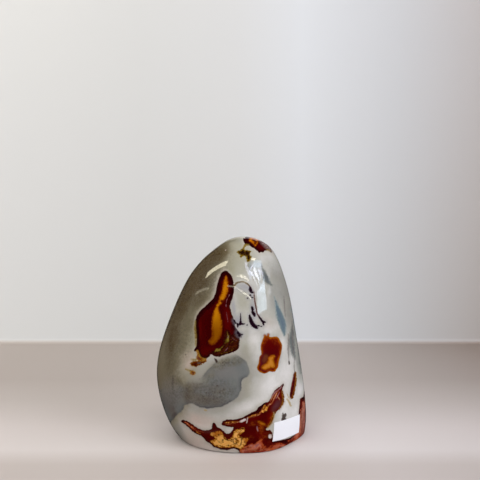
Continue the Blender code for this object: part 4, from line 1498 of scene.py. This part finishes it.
    def make(self) -> bpy.types.Material:
        """Builds the material.

        Returns:
            The material.
        """
        material, shader = start_material(self.name, self.roughness)
        tree = material.node_tree
        where = add_node(tree, "ShaderNodeTexCoord").outputs["Object"]
        low, high = self.grain_range
        grains = {}
        for grain in Grain:
            cloudy = add_node(tree, "ShaderNodeTexNoise", {
                "Vector": where, "Scale": 1 / (grain.value * MM), "Detail": self.detail,
                "Roughness": self.detail_weight,
            })
            spread = add_node(tree, "ShaderNodeMapRange", {
                "Value": cloudy.outputs["Fac"], "From Min": low, "From Max": high, "To Min": -1.0,
            })
            grains[grain] = spread.outputs[0]
        colour = linear(self.creams[0])
        for cream, grain, start in (
            (self.creams[1], Grain.WIDE, -1.0),
            (self.creams[2], Grain.BROAD, self.third_from),
        ):
            share = add_node(tree, "ShaderNodeMapRange", {"Value": grains[grain], "From Min": start})
            colour = add_node(tree, "ShaderNodeMix", {
                SHARE: share.outputs[0], UNDER: colour, OVER: linear(cream),
            }, data_type="RGBA").outputs[MIXED]
        for paint in self.paints:
            colour = paint.paint(tree, colour, grains)
        specks = add_node(tree, "ShaderNodeMath", {0: grains[Grain.FINE], 1: grains[Grain.SMALL]})
        tone = add_node(tree, "ShaderNodeMapRange", {
            "Value": specks.outputs[0], "From Min": -2.0, "From Max": 2.0,
            "To Min": 1 - self.freckle, "To Max": 1 + self.freckle,
        })
        toned = add_node(tree, "ShaderNodeVectorMath", {0: colour, "Scale": tone.outputs[0]},
                         operation="SCALE")
        tree.links.new(toned.outputs[0], shader.inputs["Base Color"])
        shader.inputs["IOR"].default_value = self.ior
        return material


@dataclass(frozen=True)
class MattPaper:
    """Uncoated label paper: white, matt, with a faint felt of fibres."""

    name: str = "white_paper"
    colour: str = "f8f9fd"
    shade: str = "ececf2"
    fibre: float = 0.25
    fibre_detail: float = 4.0
    fibre_height: float = 0.02
    roughness: float = 0.6

    def make(self) -> bpy.types.Material:
        """Builds the material.

        Returns:
            The material.
        """
        material, shader = start_material(self.name, self.roughness)
        tree = material.node_tree
        where = add_node(tree, "ShaderNodeTexCoord").outputs["Object"]
        fibres = add_node(tree, "ShaderNodeTexNoise", {
            "Vector": where, "Scale": 1 / (self.fibre * MM), "Detail": self.fibre_detail,
        }).outputs["Fac"]
        tone = add_node(tree, "ShaderNodeMix", {
            SHARE: fibres, UNDER: linear(self.colour), OVER: linear(self.shade),
        }, data_type="RGBA")
        bump = add_node(tree, "ShaderNodeBump", {"Height": fibres, "Distance": self.fibre_height * MM})
        tree.links.new(tone.outputs[MIXED], shader.inputs["Base Color"])
        tree.links.new(bump.outputs["Normal"], shader.inputs["Normal"])
        return material


@dataclass(frozen=True)
class PaperLabel:
    """The blank label: a sheet pressed onto the stone along one direction."""

    name: str = "paper_label_sheet"
    width: float = 21.1
    height: float = 9.7
    thickness: float = 0.12
    lift: float = 0.03
    cells: tuple[int, int] = (64, 30)
    centre: tuple[float, float, float] = (30.7, -16.7, 9.7)
    faces: float = -41.0
    tilt: float = -3.5
    standoff: float = 30.0

    def _inputs(self, stone: bpy.types.Object) -> dict:
        """What the tree is given.

        Args:
            stone: the stone that the label is pressed onto.

        Returns:
            Its sizes in metres, and how the flat sheet stands and is pressed, by the inputs' names.
        """
        facing = math.radians(self.faces)
        outward = Vector((math.cos(facing), math.sin(facing), 0.0))
        sideways = Vector((-math.sin(facing), math.cos(facing), 0.0))
        axes = Matrix((sideways, Vector((0.0, 0.0, 1.0)), outward)).transposed()
        turned = axes @ Matrix.Rotation(math.radians(self.tilt), 3, "Z")
        return {
            "Stone": stone,
            "Width": self.width * MM,
            "Height": self.height * MM,
            "Start": (Vector(self.centre) + outward * self.standoff) * MM,
            "Turn": Vector(turned.to_euler()),
            "Press": -outward,
            "Lift": self.lift * MM,
        }

    def _tree(self, finish: bpy.types.Material) -> Tree:
        """Builds the tree that drops a flat sheet onto the stone, point by point.

        Args:
            finish: the paper.

        Returns:
            The tree.
        """
        tree = bpy.data.node_groups.new("press_label_on", "GeometryNodeTree")
        face = tree.interface
        face.new_socket("Geometry", in_out="INPUT", socket_type="NodeSocketGeometry")
        for name, kind in (
            ("Stone", "Object"), ("Width", "Float"), ("Height", "Float"), ("Start", "Vector"),
            ("Turn", "Vector"), ("Press", "Vector"), ("Lift", "Float"),
        ):
            face.new_socket(name, in_out="INPUT", socket_type=f"NodeSocket{kind}")
        face.new_socket("Geometry", in_out="OUTPUT", socket_type="NodeSocketGeometry")
        given = add_node(tree, "NodeGroupInput").outputs
        flat = add_node(tree, "GeometryNodeMeshGrid", {
            "Size X": given["Width"], "Size Y": given["Height"],
            "Vertices X": self.cells[0] + 1, "Vertices Y": self.cells[1] + 1,
        })
        named = add_node(tree, "GeometryNodeStoreNamedAttribute", {
            "Geometry": flat.outputs["Mesh"], "Name": "sheet_uv", "Value": flat.outputs["UV Map"],
        }, data_type="FLOAT2", domain="CORNER")
        stood = add_node(tree, "GeometryNodeTransform", {
            "Geometry": named.outputs[0], "Translation": given["Start"], "Rotation": given["Turn"],
        })
        target = add_node(tree, "GeometryNodeObjectInfo", {"Object": given["Stone"]},
                          transform_space="RELATIVE")
        here = add_node(tree, "GeometryNodeInputPosition")
        fall = add_node(tree, "GeometryNodeRaycast", {
            "Target Geometry": target.outputs["Geometry"], "Source Position": here.outputs[0],
            "Ray Direction": given["Press"], "Ray Length": 2 * self.standoff * MM,
        })
        raised = add_node(tree, "ShaderNodeVectorMath", {
            0: fall.outputs["Hit Normal"], "Scale": given["Lift"],
        }, operation="SCALE")
        landed = add_node(tree, "ShaderNodeVectorMath", {
            0: fall.outputs["Hit Position"], 1: raised.outputs[0],
        }, operation="ADD")
        pressed = add_node(tree, "GeometryNodeSetPosition", {
            "Geometry": stood.outputs[0], "Position": landed.outputs[0],
        })
        real = add_node(tree, "GeometryNodeRealizeInstances", {"Geometry": pressed.outputs[0]})
        dressed = add_node(tree, "GeometryNodeSetMaterial", {
            "Geometry": real.outputs[0], "Material": finish,
        })
        add_node(tree, "NodeGroupOutput", {"Geometry": dressed.outputs[0]})
        return tree

    def build(self, stone: bpy.types.Object, finish: bpy.types.Material) -> bpy.types.Object:
        """Makes the label's object.

        Args:
            stone: the stone that the label is pressed onto.
            finish: the paper.

        Returns:
            The label, at the origin.
        """
        carrier = put(self.name, bpy.data.meshes.new(self.name))
        tree = self._tree(finish)
        press = carrier.modifiers.new("press", "NODES")
        press.node_group = tree
        wanted = self._inputs(stone)
        for item in tree.interface.items_tree:
            if item.item_type == "SOCKET" and item.in_out == "INPUT" and item.name in wanted:
                press[item.identifier] = wanted[item.name]
        thicken = carrier.modifiers.new("thicken", "SOLIDIFY")
        thicken.thickness = self.thickness * MM
        thicken.offset = 1.0
        evaluated = carrier.evaluated_get(bpy.context.evaluated_depsgraph_get())
        carrier.data = bpy.data.meshes.new_from_object(evaluated)
        carrier.data.name = self.name
        carrier.modifiers.clear()
        carrier.data.shade_smooth()
        carrier.data.set_sharp_from_angle(angle=math.radians(CREASE_ANGLE))
        return carrier


@dataclass(frozen=True)
class PaleTable:
    """Matt paint with a slight warm tone, for a smooth table and wall, a little darker at the back.

    Both carry painted shade that darkens them towards the right.
    """

    name: str = "pale_table"
    wall: str = "e9eae9"
    # Tones by how far back the table lies, and painted shade by how far right, in millimetres from their
    # starts.
    rows_from: float = -60.0
    rows: Stops = (
        (0.0, "c9beb8"), (24.0, "cbc0ba"), (40.0, "dfd6d2"), (70.0, "dcd2ce"), (117.0, "c9bfb9"),
        (165.0, "bdb2ab"), (300.0, "bfb4ac"),
    )
    # Painted shade: the table and the wall grow darker towards the right.
    sides_from: float = -250.0
    sides: Stops = (
        (0.0, "ffffff"), (150.0, "f4f4f4"), (250.0, "f2f2f3"), (320.0, "f3f5fa"), (420.0, "dad9db"),
        (540.0, "b9aca4"),
    )
    # The heights between which the table's tone gives way to the wall's.
    wall_from: float = 1.0
    wall_full: float = 4.0
    roughness: float = 0.55

    def make(self) -> bpy.types.Material:
        """Builds the material.

        Returns:
            The material.
        """
        material, shader = start_material(self.name, self.roughness)
        tree = material.node_tree
        where = add_node(tree, "ShaderNodeTexCoord").outputs["Object"]
        parts = add_node(tree, "ShaderNodeSeparateXYZ", {0: where}).outputs
        tones = []
        for axis, start, stops in (
            ("Y", self.rows_from, self.rows),
            ("X", self.sides_from, self.sides),
        ):
            share = add_node(tree, "ShaderNodeMapRange", {
                "Value": parts[axis], "From Min": start * MM, "From Max": (start + stops[-1][0]) * MM,
            })
            tone = add_node(tree, "ShaderNodeValToRGB", {"Fac": share.outputs[0]}, stops)
            tones.append(tone.outputs["Color"])
        raised = add_node(tree, "ShaderNodeMapRange", {
            "Value": parts["Z"], "From Min": self.wall_from * MM, "From Max": self.wall_full * MM,
        })
        both = add_node(tree, "ShaderNodeMix", {
            SHARE: raised.outputs[0], UNDER: tones[0], OVER: linear(self.wall),
        }, data_type="RGBA")
        shaded = add_node(tree, "ShaderNodeMix", {
            SHARE: 1.0, UNDER: both.outputs[MIXED], OVER: tones[1],
        }, data_type="RGBA", blend_type="MULTIPLY")
        tree.links.new(shaded.outputs[MIXED], shader.inputs["Base Color"])
        return material


@dataclass(frozen=True)
class Cove:
    """The table and the wall behind it, as one sheet with a tight round between them."""

    name: str = "cove"
    half_width: float = 2000.0
    near_y: float = -3000.0
    wall_y: float = 236.0
    wall_top: float = 760.0
    turn_radius: float = 5.0
    turn_steps: int = 8

    def build(self, finish: PaleTable) -> bpy.types.Object:
        """Makes the stage.

        Args:
            finish: its paint.

        Returns:
            The stage's object.
        """
        turn_y = self.wall_y - self.turn_radius
        profile = [(self.near_y, 0.0)]
        for step in range(self.turn_steps + 1):
            turn = math.pi / 2 * step / self.turn_steps
            back, up = self.turn_radius * math.sin(turn), self.turn_radius * (1 - math.cos(turn))
            profile.append((turn_y + back, up))
        profile.append((self.wall_y, self.wall_top))
        ends = (-self.half_width, self.half_width)
        points = [(x * MM, y * MM, z * MM) for y, z in profile for x in ends]
        faces = [(2 * i, 2 * i + 1, 2 * i + 3, 2 * i + 2) for i in range(len(profile) - 1)]
        mesh = bpy.data.meshes.new(self.name)
        mesh.from_pydata(points, [], faces)
        mesh.shade_smooth()
        mesh.materials.append(finish.make())
        return put(self.name, mesh)


def toward(turn: float, rise: float) -> Vector:
    """The direction at this turn from straight in front towards the right, and this rise, in degrees."""
    turn, rise = math.radians(turn), math.radians(rise)
    return Vector((math.sin(turn) * math.cos(rise), -math.cos(turn) * math.cos(rise), math.sin(rise)))


@dataclass(frozen=True)
class Panel:
    """A flat soft light, placed by the directions in which its two ends are seen from the stone.

    Attributes:
        name: what it stands for.
        first: the turn and rise of its first end, in degrees.
        last: the turn and rise of its other end, in degrees.
        broad: how broad it looks, in degrees.
        glow: its radiance.
        colour: its colour.
        seen_from: the place on the stone that mirrors it, in millimetres.
        away: its distance in metres.
        lights: whether it lights the scene, or is only mirrored in the polish.
    """

    name: str
    first: tuple[float, float]
    last: tuple[float, float]
    broad: float
    glow: float
    colour: str = "ffffff"
    seen_from: tuple[float, float, float] = (4.0, -20.0, 60.0)
    away: float = 1.2
    lights: bool = False

    def build(self) -> bpy.types.Object:
        """Makes the light.

        Returns:
            The light's object.
        """
        origin = Vector(self.seen_from) * MM
        ends = [origin + toward(*end) * self.away for end in (self.first, self.last)]
        middle = (ends[0] + ends[1]) / 2
        along = ends[1] - ends[0]
        up = along.normalized()
        out = middle - origin
        out = (out - out.dot(up) * up).normalized()
        data = bpy.data.lights.new(self.name, "AREA")
        data.shape = "RECTANGLE"
        data.size = 2 * self.away * math.tan(math.radians(self.broad / 2))
        data.size_y = along.length
        data.energy = self.glow * math.pi * data.size * data.size_y
        data.color = linear(self.colour)[:3]
        light = put(self.name, data)
        axes = Matrix((up.cross(out), up, out)).transposed()
        light.matrix_world = Matrix.Translation(middle) @ axes.to_4x4()
        light.visible_camera = False
        light.visible_glossy = not self.lights
        light.visible_diffuse = self.lights
        return light


@dataclass(frozen=True)
class Studio:
    """The camera at the photograph's viewing angle, the soft lights and the pale surroundings."""

    panels: tuple[Panel, ...] = (
        Panel("window", (68.0, 7.0), (68.0, 48.0), 32.0, 4.1, "f2f6ff", lights=True),
        Panel("soft_top", (-30.0, 35.0), (-30.0, 95.0), 64.0, 1.6, "fffcf6", away=1.4, lights=True),
        Panel("front_fill", (-15.0, -6.0), (-15.0, 30.0), 45.0, 0.5, away=1.6, lights=True),
        Panel("pane_low", (48.0, 17.0), (82.5, 13.0), 11.6, 5.0, "cce8ff", (17.0, -17.5, 77.0)),
        Panel("pane_low_top", (62.0, 21.5), (81.0, 16.0), 3.4, 3.2, "cce8ff", (16.0, -15.5, 84.0)),
        Panel("pane_low_core", (61.0, 14.0), (74.0, 11.5), 6.0, 1.5, "dceeff", (17.0, -17.0, 76.0)),
        Panel("pane_low_left", (58.0, 20.0), (68.0, 21.5), 1.8, 2.4, "e6f4ff", (15.6, -16.2, 84.0)),
        Panel("pane_low_edge", (88.0, 12.0), (98.0, 12.0), 3.0, 2.0, "f0f0ff", (20.7, -13.0, 81.0)),
        Panel("stripe_left", (16.5, 56.0), (20.5, 46.5), 4.4, 5.6, "d4dcff", (8.0, -14.6, 94.6)),
        Panel("stripe_left_low", (20.5, 46.5), (27.5, 39.5), 5.4, 5.6, "dce4ff", (9.2, -15.9, 91.4)),
        Panel("stripe_left_foot", (27.5, 39.5), (33.0, 34.0), 4.6, 4.4, "ccdcff", (10.2, -16.6, 89.2)),
        Panel("stripe_join", (28.0, 41.0), (35.5, 38.0), 3.0, 5.0, "e4e8ff", (10.6, -15.9, 90.8)),
        Panel("stripe_spur", (30.0, 43.5), (40.5, 46.5), 2.8, 7.5, "dce0ff", (11.2, -14.3, 93.7)),
        Panel("stripe_thin", (33.0, 39.0), (43.0, 31.0), 2.0, 9.0, "e8eeff", (11.7, -16.2, 89.2)),
        Panel("stripe_thin_low", (43.5, 31.0), (53.0, 24.5), 1.8, 5.2, "e4ecff", (13.2, -16.8, 86.3)),
        Panel("stripe_bright", (41.0, 41.5), (49.0, 33.0), 4.6, 10.5, "f0f6ff", (12.6, -14.8, 92.0)),
        Panel("stripe_bright_low", (48.0, 33.5), (61.0, 24.5), 2.4, 10.5, "f0f6ff", (13.8, -15.6, 88.9)),
        Panel("stripe_right", (56.0, 35.0), (68.5, 23.0), 2.0, 6.5, "e0ecff", (15.0, -14.3, 90.8)),
        Panel("stripe_far", (66.5, 29.0), (77.5, 20.5), 2.4, 5.5, "d0d8ff", (16.4, -13.7, 90.2)),
        Panel("pane_top", (41.0, 47.5), (70.0, 35.5), 10.5, 4.1, "b8dcff", (13.9, -12.6, 95.4)),
        Panel("pane_haze", (26.0, 45.5), (70.0, 27.0), 15.0, 2.0, "98c4ff", (13.5, -14.8, 91.0)),
        Panel("bright_top", (36.5, 56.5), (52.0, 51.5), 3.6, 11.0, "fff6dc", (12.0, -12.0, 98.0)),
        Panel("ceiling_strip", (-83.0, 38.5), (-42.0, 59.0), 7.6, 9.5, "fff6d8", (-8.0, -13.0, 93.0),
              away=0.9),
        Panel("far_strip", (-86.0, 24.5), (-54.0, 32.0), 1.8, 2.4, "fff8dc", (-13.0, -16.0, 82.0),
              away=0.9),
        Panel("arc_start", (-3.0, 41.0), (4.5, 41.0), 1.7, 5.0, "fff8e0", (3.7, -17.2, 89.4), away=1.0),
        Panel("arc_crown", (4.5, 41.0), (11.5, 39.5), 2.6, 8.5, "fff8e0", (5.5, -17.2, 89.5), away=1.0),
        Panel("arc_fall", (11.5, 39.5), (18.5, 37.0), 2.6, 7.5, "fff8e0", (7.0, -17.3, 88.9), away=1.0),
        Panel("arc_end", (18.5, 37.0), (25.5, 34.0), 2.0, 7.0, "fff4dc", (8.8, -17.5, 87.7), away=1.0),
        Panel("arc_below", (5.0, 37.0), (25.0, 32.0), 1.0, 2.4, "fff4dc", (7.0, -18.0, 87.0), away=1.0),
        Panel("thin_left", (-17.0, 34.0), (-3.0, 32.5), 0.8, 6.0, "ffe8c8", (0.4, -19.1, 84.1), away=1.0),
        Panel("thin_middle", (-3.0, 32.5), (13.5, 27.0), 0.9, 7.0, "fff4e0", (4.0, -19.8, 82.6), away=1.0),
        Panel("thin_right", (13.5, 27.0), (30.5, 21.5), 0.9, 8.5, "fffae4", (8.5, -20.2, 79.4), away=1.0),
        Panel("right_wall", (116.0, -9.0), (116.0, 14.0), 18.0, 0.18, "f4f6ff", away=1.0),
        Panel("back_glow", (160.0, 30.0), (200.0, 30.0), 40.0, 0.9),
    )
    surround: str = "e4e4e4"
    mirrored_surround: str = "302d2a"
    strength: float = 0.44
    clip: tuple[float, float] = (0.01, 20.0)

    def _surroundings(self) -> None:
        """Pale surroundings, which the polish mirrors as a dimmer room."""
        world = bpy.data.worlds.new("surroundings")
        world.use_nodes = True
        tree = world.node_tree
        path = add_node(tree, "ShaderNodeLightPath")
        tone = add_node(tree, "ShaderNodeMix", {
            SHARE: path.outputs["Is Glossy Ray"], UNDER: linear(self.surround),
            OVER: linear(self.mirrored_surround),
        }, data_type="RGBA")
        strength = add_node(tree, "ShaderNodeMapRange", {
            "Value": path.outputs["Is Camera Ray"], "To Min": self.strength,
        })
        backdrop = tree.nodes["Background"]
        tree.links.new(tone.outputs[MIXED], backdrop.inputs["Color"])
        tree.links.new(strength.outputs[0], backdrop.inputs["Strength"])
        bpy.context.scene.world = world

    def build(self) -> None:
        """Makes the camera, the lights and the surroundings, and sets how the picture is developed."""
        scene = bpy.context.scene
        data = bpy.data.cameras.new("camera")
        data.lens = LENS
        data.sensor_width = SENSOR
        data.clip_start, data.clip_end = self.clip
        camera = put("camera", data)
        camera.location = Vector(EYE) * MM
        camera.rotation_euler = (math.pi / 2, 0.0, 0.0)
        scene.camera = camera
        for panel in self.panels:
            panel.build()
        self._surroundings()
        scene.view_settings.view_transform = "Standard"
        scene.view_settings.look = "None"
        scene.view_settings.exposure = 0.0
        scene.cycles.use_denoising = True


def main() -> None:
    """Builds the studio, the stone and its label, and reports each piece."""
    logging.basicConfig(level=logging.INFO, format="%(name)s: %(message)s")
    Studio().build()
    stage = Cove().build(PaleTable())
    stage.visible_glossy = False
    LOG.info("stage: %s", stage.name)

    stone = StoneSkin().build(PolishedJasper().make())
    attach(stone, BODY)
    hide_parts("jasper_stone")
    LOG.info("stone: %s, %d faces", stone.name, len(stone.data.polygons))

    label = PaperLabel().build(stone, MattPaper().make())
    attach(label, BODY)
    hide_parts("paper_label")
    LOG.info("label: %s, %d faces", label.name, len(label.data.polygons))


if __name__ == "__main__":
    main()
